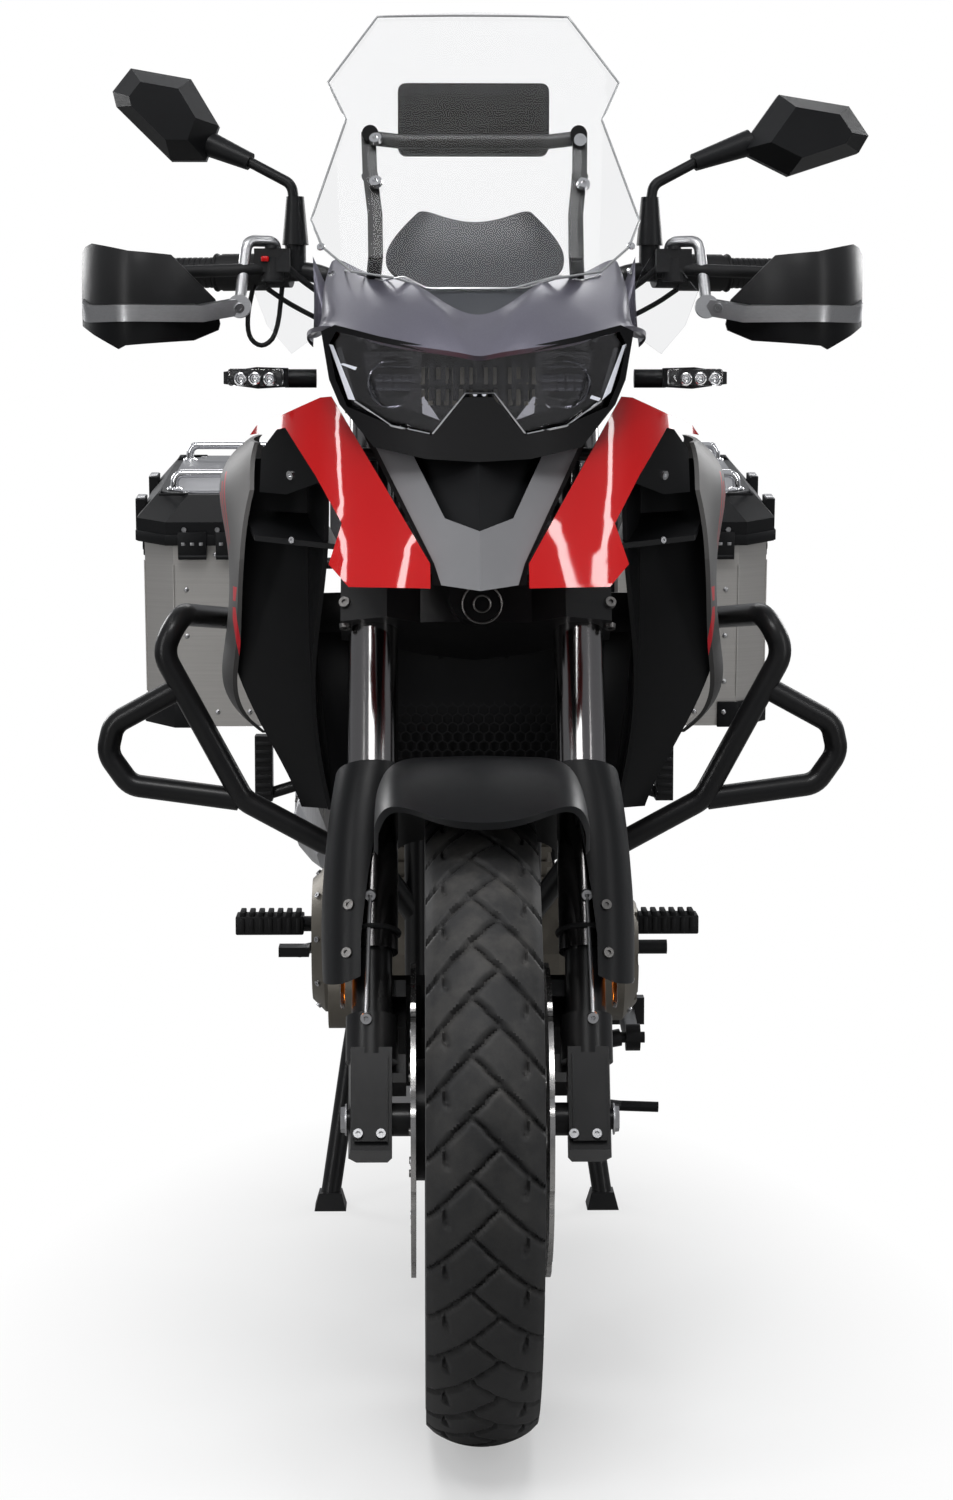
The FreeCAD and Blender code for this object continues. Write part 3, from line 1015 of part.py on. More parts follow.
def screen_bracket(screen, cowl, nose, frame):
    def behind(x, z, gap):
        return (x, back(screen_depth(x, z)) + gap, z)
    stay = loft([[(x + dx, back(screen_depth(x, z)) + dy, z) for dx, dy in ((-8, 5), (8, 5), (8, 14), (-8, 14))]
                 for x, z in ((107, 1214), (108, 1262), (114, 1310), (116, 1356))])
    cross = tube([(116, back(screen_depth(116, 1350)) + 12, 1350), (82, back(screen_depth(80, 1346)) + 22, 1346),
                  (-82, back(screen_depth(80, 1346)) + 22, 1346), (-116, back(screen_depth(116, 1350)) + 12, 1350)], 8, 20)
    knobs = [rod(behind(x, z, -6), behind(x, z, 8), 9) for x, z in ((114, 1354), (114, 1306))]
    foot = tube([(107, back(screen_depth(107, 1214)) + 10, 1216), (112, back(285), 1176), (96, back(236), 1014)], 8, 30)
    clamp = box(-22, 22, back(352), back(382), 1332, 1362)
    plates = loft([[(176, back(262), 1222), (186, back(262), 1226), (186, back(268), 1228), (176, back(268), 1224)],
                   [(158, back(222), 1176), (168, back(222), 1180), (168, back(228), 1182), (158, back(228), 1178)]])
    half = [stay, foot] + knobs
    body = fuse([cross, clamp] + half + [flip(h) for h in half])
    return save("screen_bracket", [largest(body.cut(group(screen, cowl, nose, frame)))])


def display(bracket):
    body = box(-84, 84, back(382), back(412), 1336, 1414)
    body = body.makeFillet(9, [e for e in body.Edges if abs(e.tangentAt(e.FirstParameter).y) > 0.9])
    ribs = [box(-80, 80, back(379), back(383), 1344 + 8 * i, 1348 + 8 * i) for i in range(8)]
    return save("display", [fuse([body] + ribs).cut(bracket)])


def wind_deflectors(cowl):
    rows = [[(x, back(194 + 0.1 * (x - 172) + 0.2 * (z - 1140)), z) for x in (150, 200, 250)] for z in (1100, 1170, 1240)]
    sheet = skin(rows, 3.5)
    outline = [(168, 1132), (196, 1112), (222, 1142), (236, 1178), (204, 1220), (188, 1218), (176, 1200), (168, 1180)]
    plate = sheet.common(front_prism(outline, back(0), back(400)))
    return save("wind_deflectors", pair(plate.cut(cowl)))


def indicators(cowl, holder):
    stalk = rod((172, back(262), 1087), (206, back(262), 1087), 10)
    lens = loft([[(202, back(248), 1078), (202, back(276), 1078), (202, back(276), 1096), (202, back(248), 1098)],
                 [(236, back(244), 1076), (236, back(278), 1076), (236, back(276), 1098), (236, back(246), 1099)],
                 [(272, back(254), 1081), (272, back(272), 1081), (272, back(272), 1094), (272, back(254), 1094)]])
    front = fuse([stalk, lens]).cut(cowl)
    stalk2 = rod((120, 1038, 724), (152, 1038, 724), 9)
    lens2 = loft([[(148, 1026, 714), (148, 1050, 714), (148, 1050, 734), (148, 1026, 734)],
                  [(206, 1030, 716), (206, 1048, 716), (206, 1048, 732), (206, 1030, 732)]])
    rear = fuse([stalk2, lens2]).cut(holder)
    return save("indicators", pair(front) + pair(rear))


os.makedirs("parts", exist_ok=True)
front_wheel()
rear_wheel()
yoke_body = yokes()
tube_body = fork_tubes()
leg_body = fork_legs()
front_calipers(leg_body)
bar_body = handlebar()
control_body = bar_controls(bar_body)
mirror_body = mirrors(bar_body, control_body)
handguards(bar_body, control_body, mirror_body)
fender(leg_body, tube_body)
frame_body = main_frame()
motor_body = engine(frame_body)
exhaust(frame_body, motor_body)
radiator(frame_body)
tank_body = fuel_tank(frame_body, motor_body)
seat_body = seat(frame_body, tank_body)
tail_body, rack_body, holder_body = tail(frame_body, seat_body)
arm_body = swingarm(frame_body)
hugger(arm_body)
rear_shock(frame_body, arm_body)
chain()
bars_body = crash_bars(frame_body)
centre_stand(frame_body)
side_stand()
racks(frame_body, tail_body, rack_body, seat_body)
cases(None)
footrests(frame_body, motor_body)
bash_plate(frame_body)
screen_body = windscreen()
bezel_body, lens_body = headlight(frame_body)
cowl_body = front_cowl(bezel_body, lens_body, screen_body)
nose_body = nose_panel(cowl_body, bezel_body, screen_body)
beak_body = beak(bezel_body)
wing_body = red_wings(beak_body, cowl_body, bezel_body)
panel_body = side_panels()
inner_shrouds(panel_body, frame_body, bars_body, wing_body)
bracket_body = screen_bracket(screen_body, cowl_body, nose_body, frame_body)
display(bracket_body)
wind_deflectors(cowl_body)
indicators(cowl_body, holder_body)
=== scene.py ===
"""Adventure motorcycle on its centre stand: finishes, tread, seat, lamps, fasteners and studio."""

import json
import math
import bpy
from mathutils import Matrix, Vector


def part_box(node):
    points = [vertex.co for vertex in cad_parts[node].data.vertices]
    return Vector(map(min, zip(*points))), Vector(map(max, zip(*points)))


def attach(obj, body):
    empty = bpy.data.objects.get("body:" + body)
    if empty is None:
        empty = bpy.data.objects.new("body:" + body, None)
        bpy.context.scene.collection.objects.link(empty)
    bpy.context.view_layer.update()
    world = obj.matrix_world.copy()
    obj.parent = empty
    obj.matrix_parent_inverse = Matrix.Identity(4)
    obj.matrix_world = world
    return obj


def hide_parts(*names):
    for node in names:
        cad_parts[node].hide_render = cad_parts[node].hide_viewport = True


bl_info = {
    "name": "Adventure Motorcycle Finish",
    "version": (1, 0, 0),
    "blender": (4, 5, 0),
    "location": "View3D > Sidebar > Motorcycle",
    "description": "Dresses the packed motorcycle with finishes, tread, seat, lamps and fasteners",
    "category": "Object",
}

import bmesh
import bpy
from bpy.props import FloatProperty, FloatVectorProperty, IntProperty, PointerProperty
from mathutils import Euler, Matrix, Vector
from mathutils.bvhtree import BVHTree

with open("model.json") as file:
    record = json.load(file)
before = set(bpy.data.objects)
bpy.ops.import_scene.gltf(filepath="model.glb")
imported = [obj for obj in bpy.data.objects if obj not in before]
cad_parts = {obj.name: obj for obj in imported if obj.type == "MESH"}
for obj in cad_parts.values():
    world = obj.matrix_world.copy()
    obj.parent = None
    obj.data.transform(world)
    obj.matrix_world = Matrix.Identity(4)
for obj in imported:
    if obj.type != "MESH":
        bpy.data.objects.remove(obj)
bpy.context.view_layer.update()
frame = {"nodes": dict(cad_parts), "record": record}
NODES = frame["nodes"]
PHOTO_WIDE, PHOTO_HIGH = 953, 1500
SENSOR = 36
SIDES = (-1, 1)
AXIS_X = Vector((1, 0, 0))
AXIS_Z = Vector((0, 0, 1))
FORWARD = Vector((0, -1, 0))
BACKWARD = Vector((0, 1, 0))
DOWN = Vector((0, 0, -1))
RAKE = math.radians(26)


def middle(name):
    """The centre of a node's box."""
    low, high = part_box(name)
    return (low + high) / 2


FRONT_AXLE = middle("front_tyre")
REAR_AXLE = middle("rear_tyre")


# Settings

def shade(name, note, value):
    """A colour setting."""
    return FloatVectorProperty(
        name=name, description=note, default=value, size=3, min=0, max=1, subtype="COLOR")


def power(name, note, watts):
    """The power setting of a lamp."""
    return FloatProperty(name=name, description=note, default=watts, min=0, subtype="POWER")


class PaintSettings(bpy.types.PropertyGroup):
    wing_red: shade("Wing red", "Gloss red of the front wings", (0.40, 0.0016, 0.0022))
    cowl_violet: shade("Cowl violet", "Metallic violet grey of the front cowl", (0.112, 0.108, 0.138))
    panel_grey: shade("Panel grey", "Matte grey of the beak", (0.165, 0.166, 0.174))
    side_grey: shade("Side grey", "Matte grey of the side panels", (0.105, 0.102, 0.100))
    nose_charcoal: shade("Nose charcoal", "Charcoal of the nose panel", (0.034, 0.036, 0.041))
    guard_black: shade("Guard black", "Upper part of the handguards", (0.013, 0.013, 0.0135))
    trim_black: shade("Trim black", "Moulded black plastic", (0.0056, 0.0058, 0.0064))
    frame_black: shade("Frame black", "Powder coat of frame and bars", (0.0060, 0.0060, 0.0065))
    case_silver: shade("Case silver", "Anodised sheet of the panniers", (0.50, 0.485, 0.465))
    lid_slate: shade("Lid slate", "Top sheet of the pannier lids", (0.19, 0.192, 0.205))
    engine_bronze: shade("Engine bronze", "Cast covers of the engine", (0.17, 0.155, 0.13))
    stripe_red: shade("Stripe red", "Thin stripes of the side panels", (0.55, 0.02, 0.03))


class TyreSettings(bpy.types.PropertyGroup):
    steps: IntProperty(
        name="Steps", description="Divisions along one pitch of the tread", default=22, min=6, max=40)
    pitches: IntProperty(
        name="Pitches", description="Groove pairs round the front tyre", default=36, min=12, max=60)
    groove_width: FloatProperty(
        name="Groove width", description="Width of a main groove", default=0.0062, unit="LENGTH")
    groove_depth: FloatProperty(
        name="Groove depth", description="Depth of a main groove", default=0.0050, unit="LENGTH")


class CameraSettings(bpy.types.PropertyGroup):
    place: FloatVectorProperty(
        name="Place", description="Camera place", default=(-0.060, -3.942, 1.036), size=3,
        subtype="TRANSLATION")
    tilt: FloatProperty(
        name="Tilt", description="Turn up from straight down", default=math.radians(84.104),
        subtype="ANGLE")
    turn: FloatProperty(
        name="Turn", description="Turn about the vertical", default=math.radians(-1.0235),
        subtype="ANGLE")
    lens: FloatProperty(
        name="Lens", description="Focal length for a 36 mm long side", default=75.34, min=10)


class StudioSettings(bpy.types.PropertyGroup):
    top_power: power("Top power", "Power of the softbox above", 58)
    front_power: power("Front power", "Power of the softbox over the camera", 78)
    left_power: power("Left power", "Power of the strip at the left", 24)
    right_power: power("Right power", "Power of the strip at the right", 20)
    tube_power: power("Tube power", "Power of each thin tube at the ceiling", 7)
    back_power: power("Back power", "Power of the softbox behind and above", 13)
    rear_power: power("Rear power", "Power of each softbox at a rear corner", 34)
    room_light: FloatProperty(
        name="Room light", description="Strength of the even light", default=0.09, min=0)
    room_shine: FloatProperty(
        name="Room shine", description="Strength of the room in reflections", default=0.42, min=0)
    floor_shade: shade("Floor shade", "Colour of the floor near the object", (0.80, 0.80, 0.80))


# Node trees

def feed(tree, socket, value):
    """Links a socket to an output, or sets it to a plain value."""
    if isinstance(value, bpy.types.NodeSocket):
        tree.links.new(value, socket)
    else:
        socket.default_value = value


def node(tree, kind, props=None, **inputs):
    """Adds a node. A key names an input, with _ for a blank, or counts it as n0 and n1."""
    made = tree.nodes.new(kind)
    for key, value in (props or {}).items():
        setattr(made, key, value)
    for key, value in inputs.items():
        counted = key[0] == "n" and key[1:].isdigit()
        feed(tree, made.inputs[int(key[1:]) if counted else key.replace("_", " ")], value)
    return made


def group_tree(name, inputs, outputs):
    """An empty node group with its sockets."""
    tree = bpy.data.node_groups.new(name, "ShaderNodeTree")
    for label, kind, value in inputs:
        socket = tree.interface.new_socket(label, in_out="INPUT", socket_type="NodeSocket" + kind)
        if value is not None:
            socket.default_value = value
    for label, kind in outputs:
        tree.interface.new_socket(label, in_out="OUTPUT", socket_type="NodeSocket" + kind)
    return tree, tree.nodes.new("NodeGroupInput").outputs, tree.nodes.new("NodeGroupOutput").inputs


def mixed(tree, share, first, second):
    """A colour between two others."""
    blend = node(tree, "ShaderNodeMix", {"data_type": "RGBA"})
    for index, value in ((0, share), (6, first), (7, second)):
        feed(tree, blend.inputs[index], value)
    return blend.outputs[2]


def ranged(tree, value, low, high, to_low, to_high):
    """A value carried from one range to another."""
    limits = {"From_Min": low, "From_Max": high, "To_Min": to_low, "To_Max": to_high}
    return node(tree, "ShaderNodeMapRange", None, Value=value, **limits).outputs["Result"]


def maths(tree, operation, first, second=0.0, third=0.0):
    """The result of a sum with up to three values."""
    return node(tree, "ShaderNodeMath", {"operation": operation}, n0=first, n1=second, n2=third).outputs[0]


def noise(tree, coord, scale, detail=2.0, roughness=0.5):
    """A soft noise between 0 and 1."""
    settings = {"Scale": scale, "Detail": detail, "Roughness": roughness}
    return node(tree, "ShaderNodeTexNoise", None, Vector=coord, **settings).outputs["Fac"]


LOOK_OUTPUTS = (("Color", "Color"), ("Roughness", "Float"), ("Height", "Float"))


def grain_group():
    """Fine moulded or cast grain with slow drift of colour and roughness."""
    tree, given, out = group_tree(
        "Surface grain",
        (("Vector", "Vector", None), ("Grain Scale", "Float", 900.0), ("Drift Scale", "Float", 5.0),
         ("Dark", "Color", (0.02, 0.02, 0.02, 1)), ("Light", "Color", (0.03, 0.03, 0.03, 1)),
         ("Rough Low", "Float", 0.45), ("Rough High", "Float", 0.6)),
        LOOK_OUTPUTS)
    coord, scale = given["Vector"], given["Grain Scale"]
    drift = noise(tree, coord, given["Drift Scale"], 5.0, 0.6)
    fine = node(tree, "ShaderNodeTexVoronoi", {"feature": "SMOOTH_F1"}, Vector=coord, Scale=scale,
                Smoothness=0.6)
    speck = noise(tree, coord, scale)
    share = ranged(tree, drift, 0.32, 0.68, 0.0, 1.0)
    rough = maths(tree, "MULTIPLY_ADD", speck, 0.3, maths(tree, "MULTIPLY", share, 0.7))
    tree.links.new(mixed(tree, share, given["Dark"], given["Light"]), out["Color"])
    tree.links.new(ranged(tree, rough, 0.0, 1.0, given["Rough Low"], given["Rough High"]), out["Roughness"])
    tree.links.new(maths(tree, "MULTIPLY_ADD", speck, 0.4, fine.outputs["Distance"]), out["Height"])
    return tree


def brushed_group():
    """Brush lines drawn out along one axis by the stretch vector."""
    tree, given, out = group_tree(
        "Brushed lines",
        (("Vector", "Vector", None), ("Stretch", "Vector", (4.0, 4.0, 600.0)),
         ("Dark", "Color", (0.5, 0.5, 0.5, 1)), ("Light", "Color", (0.65, 0.65, 0.65, 1)),
         ("Rough Low", "Float", 0.28), ("Rough High", "Float", 0.44)),
        LOOK_OUTPUTS)
    drawn = node(tree, "ShaderNodeVectorMath", {"operation": "MULTIPLY"}, n0=given["Vector"],
                 n1=given["Stretch"])
    lines = noise(tree, drawn.outputs[0], 1.0, 4.0, 0.65)
    smear = noise(tree, given["Vector"], 7.0, 5.0)
    share = maths(tree, "MULTIPLY_ADD", lines, 0.6, maths(tree, "MULTIPLY", smear, 0.4))
    share = ranged(tree, share, 0.35, 0.65, 0.0, 1.0)
    tree.links.new(mixed(tree, share, given["Dark"], given["Light"]), out["Color"])
    tree.links.new(ranged(tree, share, 0.0, 1.0, given["Rough High"], given["Rough Low"]), out["Roughness"])
    tree.links.new(lines, out["Height"])
    return tree


def dust_group():
    """Pale road dust that settles on faces that look up."""
    tree, given, out = group_tree(
        "Road dust",
        (("Vector", "Vector", None), ("Color", "Color", (0.03, 0.03, 0.03, 1)),
         ("Dust", "Color", (0.16, 0.15, 0.135, 1)), ("Amount", "Float", 0.4)),
        (("Color", "Color"),))
    facing_way = node(tree, "ShaderNodeNewGeometry").outputs["Normal"]
    up = node(tree, "ShaderNodeSeparateXYZ", None, Vector=facing_way).outputs["Z"]
    patches = ranged(tree, noise(tree, given["Vector"], 22.0, 8.0, 0.7), 0.42, 0.72, 0.0, 1.0)
    rise = ranged(tree, up, -0.3, 1.0, 0.25, 1.0)
    mask = maths(tree, "MULTIPLY", maths(tree, "MULTIPLY", patches, rise), given["Amount"])
    tree.links.new(mixed(tree, mask, given["Color"], given["Dust"]), out["Color"])
    return tree


GROUP_MAKERS = {"grain": grain_group, "brushed": brushed_group, "dust": dust_group}
SHARED = {}


def placed_group(tree, name, **inputs):
    """Places a shared node group, which is built when it is first asked for."""
    if name not in SHARED:
        SHARED[name] = GROUP_MAKERS[name]()
    return node(tree, "ShaderNodeGroup", {"node_tree": SHARED[name]}, **inputs)


def rgba(colour, gain=1.0):
    """A colour with its alpha, made lighter or darker."""
    return tuple(min(1, part * gain) for part in colour) + (1.0,)


def blank(name, **plain):
    """A new material with its tree, its Principled surface and the object coordinates."""
    material = bpy.data.materials.new(name)
    material.use_nodes = True
    tree = material.node_tree
    surface = tree.nodes["Principled BSDF"]
    for key, value in plain.items():
        surface.inputs[key.replace("_", " ")].default_value = value
    return material, tree, surface, node(tree, "ShaderNodeTexCoord").outputs["Object"]


def surfaced(tree, surface, colour, roughness, height=None, strength=0.5, distance=0.00006):
    """Feeds the colour, the roughness and the bump of a surface."""
    tree.links.new(colour, surface.inputs["Base Color"])
    tree.links.new(roughness, surface.inputs["Roughness"])
    if height is not None:
        bump = node(tree, "ShaderNodeBump", None, Height=height, Strength=strength, Distance=distance)
        tree.links.new(bump.outputs["Normal"], surface.inputs["Normal"])


def look_of(tree, group, coord, colour, gains, rough, **inputs):
    """The outputs of a grain or brushed group between a darker and a lighter tone."""
    return placed_group(tree, group, Vector=coord, Dark=rgba(colour, gains[0]), Light=rgba(colour, gains[1]),
                        Rough_Low=rough[0], Rough_High=rough[1], **inputs).outputs


# Finishes

def grained(name, colour, rough, scale, drift, spread, bump, metallic=0.0, dust=0.0, coat=0.0, shine=0.5):
    """A moulded, cast or painted surface."""
    plain = {"Metallic": metallic, "Specular_IOR_Level": shine}
    if coat:
        plain.update(Coat_Weight=coat, Coat_Roughness=0.03)
    material, tree, surface, coord = blank(name, **plain)
    look = look_of(tree, "grain", coord, colour, (1 - spread, 1 + spread), rough, Grain_Scale=scale,
                   Drift_Scale=drift)
    shown = look["Color"]
    if dust:
        shown = placed_group(tree, "dust", Vector=coord, Color=shown, Amount=dust).outputs["Color"]
    surfaced(tree, surface, shown, look["Roughness"], look["Height"], 0.5, bump)
    return material


def brushed(name, colour, stretch, rough, spread, metallic=1.0):
    """Bare metal with brush lines."""
    material, tree, surface, coord = blank(name, Metallic=metallic)
    look = look_of(tree, "brushed", coord, colour, (1 - spread, 1 + spread), rough, Stretch=stretch)
    surfaced(tree, surface, look["Color"], look["Roughness"], look["Height"], 0.25, 0.00005)
    return material


def polished(name, colour, rough=0.06):
    """Chrome or mirror with faint smears."""
    material, tree, surface, coord = blank(name, Metallic=1.0)
    smear = noise(tree, coord, 30.0, 6.0)
    surfaced(tree, surface, mixed(tree, smear, rgba(colour, 0.96), rgba(colour, 1.04)),
             ranged(tree, smear, 0.3, 0.7, rough * 0.6, rough * 1.8))
    return material


def clear(name, colour, rough=0.0, ior=1.45):
    """Clear or tinted plastic with a trace of dust in its roughness."""
    material, tree, surface, coord = blank(name, IOR=ior, Transmission_Weight=1.0)
    haze = noise(tree, coord, 12.0, 6.0)
    surfaced(tree, surface, mixed(tree, haze, rgba(colour, 0.99), rgba(colour, 1.01)),
             ranged(tree, haze, 0.5, 0.8, rough, rough + 0.02))
    return material


def glowing(name, colour, strength):
    """A lit bar of light."""
    material, tree, surface, coord = blank(
        name, Base_Color=rgba(colour, 0.9), Emission_Strength=strength, Roughness=0.3)
    tone = mixed(tree, noise(tree, coord, 300.0), rgba(colour, 0.97), rgba(colour, 1.0))
    tree.links.new(tone, surface.inputs["Emission Color"])
    return material


def flaked(name, colour):
    """Satin metallic paint with fine flakes."""
    material, tree, surface, coord = blank(name, Metallic=0.55, Coat_Weight=0.35, Coat_Roughness=0.18)
    look = look_of(tree, "grain", coord, colour, (0.9, 1.12), (0.30, 0.42), Grain_Scale=2600.0,
                   Drift_Scale=3.0)
    flake = node(tree, "ShaderNodeTexVoronoi", None, Vector=coord, Scale=1800.0)
    glint = ranged(tree, flake.outputs["Color"], 0.75, 1.0, 0.0, 0.35)
    surfaced(tree, surface, mixed(tree, glint, look["Color"], rgba(colour, 2.2)), look["Roughness"])
    return material


def two_tone(name, upper, lower, height):
    """Moulded plastic with another colour above a height."""
    material, tree, surface, coord = blank(name, Specular_IOR_Level=0.2)
    below, above = [look_of(tree, "grain", coord, tone, (0.86, 1.14), (0.30, 0.40), Grain_Scale=1600.0,
                            Drift_Scale=4.0) for tone in (lower, upper)]
    level = node(tree, "ShaderNodeSeparateXYZ", None, Vector=coord).outputs["Z"]
    share = maths(tree, "GREATER_THAN", level, height)
    surfaced(tree, surface, mixed(tree, share, below["Color"], above["Color"]), below["Roughness"],
             below["Height"])
    return material


# Front stripes follow the distance from the middle, side stripes follow the length, both in metres:
# low and high end, middle line at each end, half width at each end
FRONT_STRIPES = (
    (0.716, 0.835, 0.2492, 0.2690, 0.0009, 0.0034),
    (0.842, 0.858, 0.2678, 0.2690, 0.0022, 0.0058),
)
SIDE_STRIPES = (
    (0.905, 0.985, -0.414, -0.398, 0.0012, 0.0034),
    (0.898, 0.974, -0.400, -0.384, 0.0012, 0.0034),
    (0.890, 0.962, -0.386, -0.370, 0.0012, 0.0034),
)
FRONT_STRIPE_END = -0.432
SIDE_STRIPE_END = -0.33


def striped(name, colour, stripe):
    """Grey panel plastic with painted shade that darkens it downwards, with the painted stripes of the side
    panels.
    """
    material, tree, surface, coord = blank(name, Specular_IOR_Level=0.25)
    look = look_of(tree, "grain", coord, colour, (0.85, 1.15), (0.42, 0.54), Grain_Scale=1500.0,
                   Drift_Scale=4.0)
    x, y, z = node(tree, "ShaderNodeSeparateXYZ", None, Vector=coord).outputs
    # Painted shade: below 0.93 m the grey falls towards a quarter of its tone, which it keeps under 0.70 m.
    shown = mixed(tree, ranged(tree, z, 0.70, 0.93, 1.0, 0.0), look["Color"], rgba(colour, 0.24))
    across = maths(tree, "ABSOLUTE", x)
    rows = [(across, FRONT_STRIPE_END, *row) for row in FRONT_STRIPES]
    rows += [(y, SIDE_STRIPE_END, *row) for row in SIDE_STRIPES]
    for value, end, low, high, at_low, at_high, half_low, half_high in rows:
        line = ranged(tree, z, low, high, at_low, at_high)
        half = ranged(tree, z, low, high, half_low, half_high)
        off = maths(tree, "ABSOLUTE", maths(tree, "SUBTRACT", value, line))
        inside = maths(tree, "LESS_THAN", off, half)
        before = maths(tree, "LESS_THAN", y, end)
        above = maths(tree, "GREATER_THAN", z, low)
        below = maths(tree, "LESS_THAN", z, high)
        mask = maths(tree, "MULTIPLY", maths(tree, "MULTIPLY", inside, before),
                     maths(tree, "MULTIPLY", above, below))
        shown = mixed(tree, mask, shown, rgba(stripe))
    surfaced(tree, surface, shown, look["Roughness"], look["Height"])
    return material


def turned_disc(name, colour, axle):
    """Ground steel with fine rings about an axle."""
    material, tree, surface, coord = blank(name, Metallic=1.0)
    centred = node(tree, "ShaderNodeMapping", None, Vector=coord, Location=tuple(-axle))
    rings = node(tree, "ShaderNodeTexWave", {"wave_type": "RINGS", "rings_direction": "X"},
                 Vector=centred.outputs[0], Scale=420.0, Distortion=1.5, Detail=2.0).outputs["Fac"]
    smear = noise(tree, coord, 18.0, 5.0)
    surfaced(tree, surface, mixed(tree, smear, rgba(colour, 0.8), rgba(colour, 1.15)),
             ranged(tree, rings, 0.0, 1.0, 0.22, 0.36), rings, 0.3, 0.00004)
    return material


def leathery(name, colour):
    """Seat cover with a pebbled grain."""
    material, tree, surface, coord = blank(name, Sheen_Weight=0.12)
    pebble = node(tree, "ShaderNodeTexVoronoi", {"feature": "DISTANCE_TO_EDGE"}, Vector=coord, Scale=520.0)
    look = look_of(tree, "grain", coord, colour, (0.8, 1.25), (0.5, 0.66), Grain_Scale=900.0,
                   Drift_Scale=9.0)
    height = maths(tree, "MINIMUM", pebble.outputs["Distance"], 0.12)
    surfaced(tree, surface, look["Color"], look["Roughness"], height, 0.6, 0.0012)
    return material


FINISHES = {}
DISC_STEEL = (0.48, 0.47, 0.46)
# Height of the colour change on the handguards, in metres
GUARD_SPLIT = 1.160


def mix_plastics(paint):
    FINISHES.update({
        "black_plastic": grained("moulded_black", paint.trim_black, (0.34, 0.46), 1500.0, 4.0, 0.22, 0.00008,
                                 shine=0.19),
        "charcoal_plastic": grained("charcoal_panel", paint.nose_charcoal, (0.38, 0.48), 1700.0, 4.0, 0.14,
                                    0.00005, shine=0.3),
        "grey_plastic": grained("matte_grey_panel", paint.panel_grey, (0.44, 0.55), 1700.0, 4.0, 0.12,
                                0.00005),
        "side_panel": striped("striped_side_panel", paint.side_grey, paint.stripe_red),
        "guard": two_tone("handguard_shield", paint.guard_black, paint.trim_black, GUARD_SPLIT),
        "screen_edge": grained("screen_edge", (0.20, 0.205, 0.21), (0.15, 0.25), 900.0, 8.0, 0.1, 0.00001),
        "tyre": grained("tyre_rubber", (0.020, 0.020, 0.0205), (0.50, 0.66), 900.0, 14.0, 0.3, 0.0001,
                        dust=0.26, shine=0.3),
        "rubber_black": grained("grip_rubber", (0.008, 0.008, 0.0085), (0.5, 0.6), 1200.0, 8.0, 0.25, 0.0001,
                                shine=0.25),
        "seat_cover": leathery("seat_cover", (0.022, 0.022, 0.023)),
    })


def mix_paints(paint):
    FINISHES.update({
        "black_metal": grained("black_powder_coat", paint.frame_black, (0.26, 0.36), 1900.0, 6.0, 0.3,
                               0.00004, dust=0.04, shine=0.26),
        "violet_grey": flaked("violet_grey_metallic", paint.cowl_violet),
        "red_paint": grained("gloss_red", paint.wing_red, (0.22, 0.30), 2400.0, 3.0, 0.05, 0.00001,
                             coat=0.55, shine=0.05),
        "gloss_black": grained("gloss_black", (0.006, 0.006, 0.007), (0.12, 0.2), 2400.0, 3.0, 0.1, 0.00001,
                               coat=0.5, shine=0.2),
        "plate_white": grained("blank_plate_white", (0.62, 0.62, 0.61), (0.35, 0.45), 900.0, 8.0, 0.04,
                               0.00002),
        "lid_slate": grained("lid_slate_sheet", paint.lid_slate, (0.32, 0.42), 1500.0, 5.0, 0.12, 0.00003,
                             metallic=0.5),
    })


def mix_metals(paint):
    FINISHES.update({
        "chrome": polished("chrome", (0.80, 0.80, 0.81)),
        "dark_chrome": polished("dark_chrome", (0.11, 0.11, 0.12), 0.10),
        "mirror_glass": polished("mirror_glass", (0.86, 0.88, 0.90), 0.015),
        "fork_chrome": brushed("hard_chrome_tube", (0.18, 0.174, 0.174), (600.0, 600.0, 3.0), (0.10, 0.2),
                               0.06),
        "alloy": brushed("satin_alloy", (0.56, 0.56, 0.57), (5.0, 500.0, 500.0), (0.3, 0.42), 0.08),
        "case_alloy": brushed("anodised_sheet", paint.case_silver, (5.0, 5.0, 420.0), (0.42, 0.55), 0.05,
                              0.72),
        "steel": brushed("brushed_steel", (0.46, 0.46, 0.47), (300.0, 12.0, 12.0), (0.24, 0.38), 0.12),
        "disc_front": turned_disc("front_disc_steel", DISC_STEEL, FRONT_AXLE),
        "disc_rear": turned_disc("rear_disc_steel", DISC_STEEL, REAR_AXLE),
        "engine_alloy": grained("cast_engine_alloy", paint.engine_bronze, (0.38, 0.52), 700.0, 12.0, 0.2,
                                0.0002, metallic=0.65, dust=0.06),
        "dark_steel": grained("chain_steel", (0.16, 0.155, 0.15), (0.3, 0.45), 1200.0, 20.0, 0.3, 0.00005,
                              metallic=0.9),
    })


def mix_glass():
    FINISHES.update({
        "clear": clear("clear_screen", (0.885, 0.888, 0.895), 0.0, 1.16),
        "smoked": clear("smoked_lens", (0.60, 0.60, 0.63), 0.0, 1.40),
        "clear_lens": clear("clear_lens", (0.93, 0.93, 0.93), 0.02),
        "red_lens": clear("red_lens", (0.62, 0.01, 0.01), 0.05),
        "amber": clear("amber_reflector", (0.92, 0.22, 0.02), 0.08),
        "white_light": glowing("white_light_bar", (0.95, 0.97, 1.0), 0.9),
        "beam_glass": grained("beam_glass", (0.15, 0.135, 0.09), (0.15, 0.25), 900.0, 40.0, 0.2, 0.00002,
                              coat=0.6),
    })


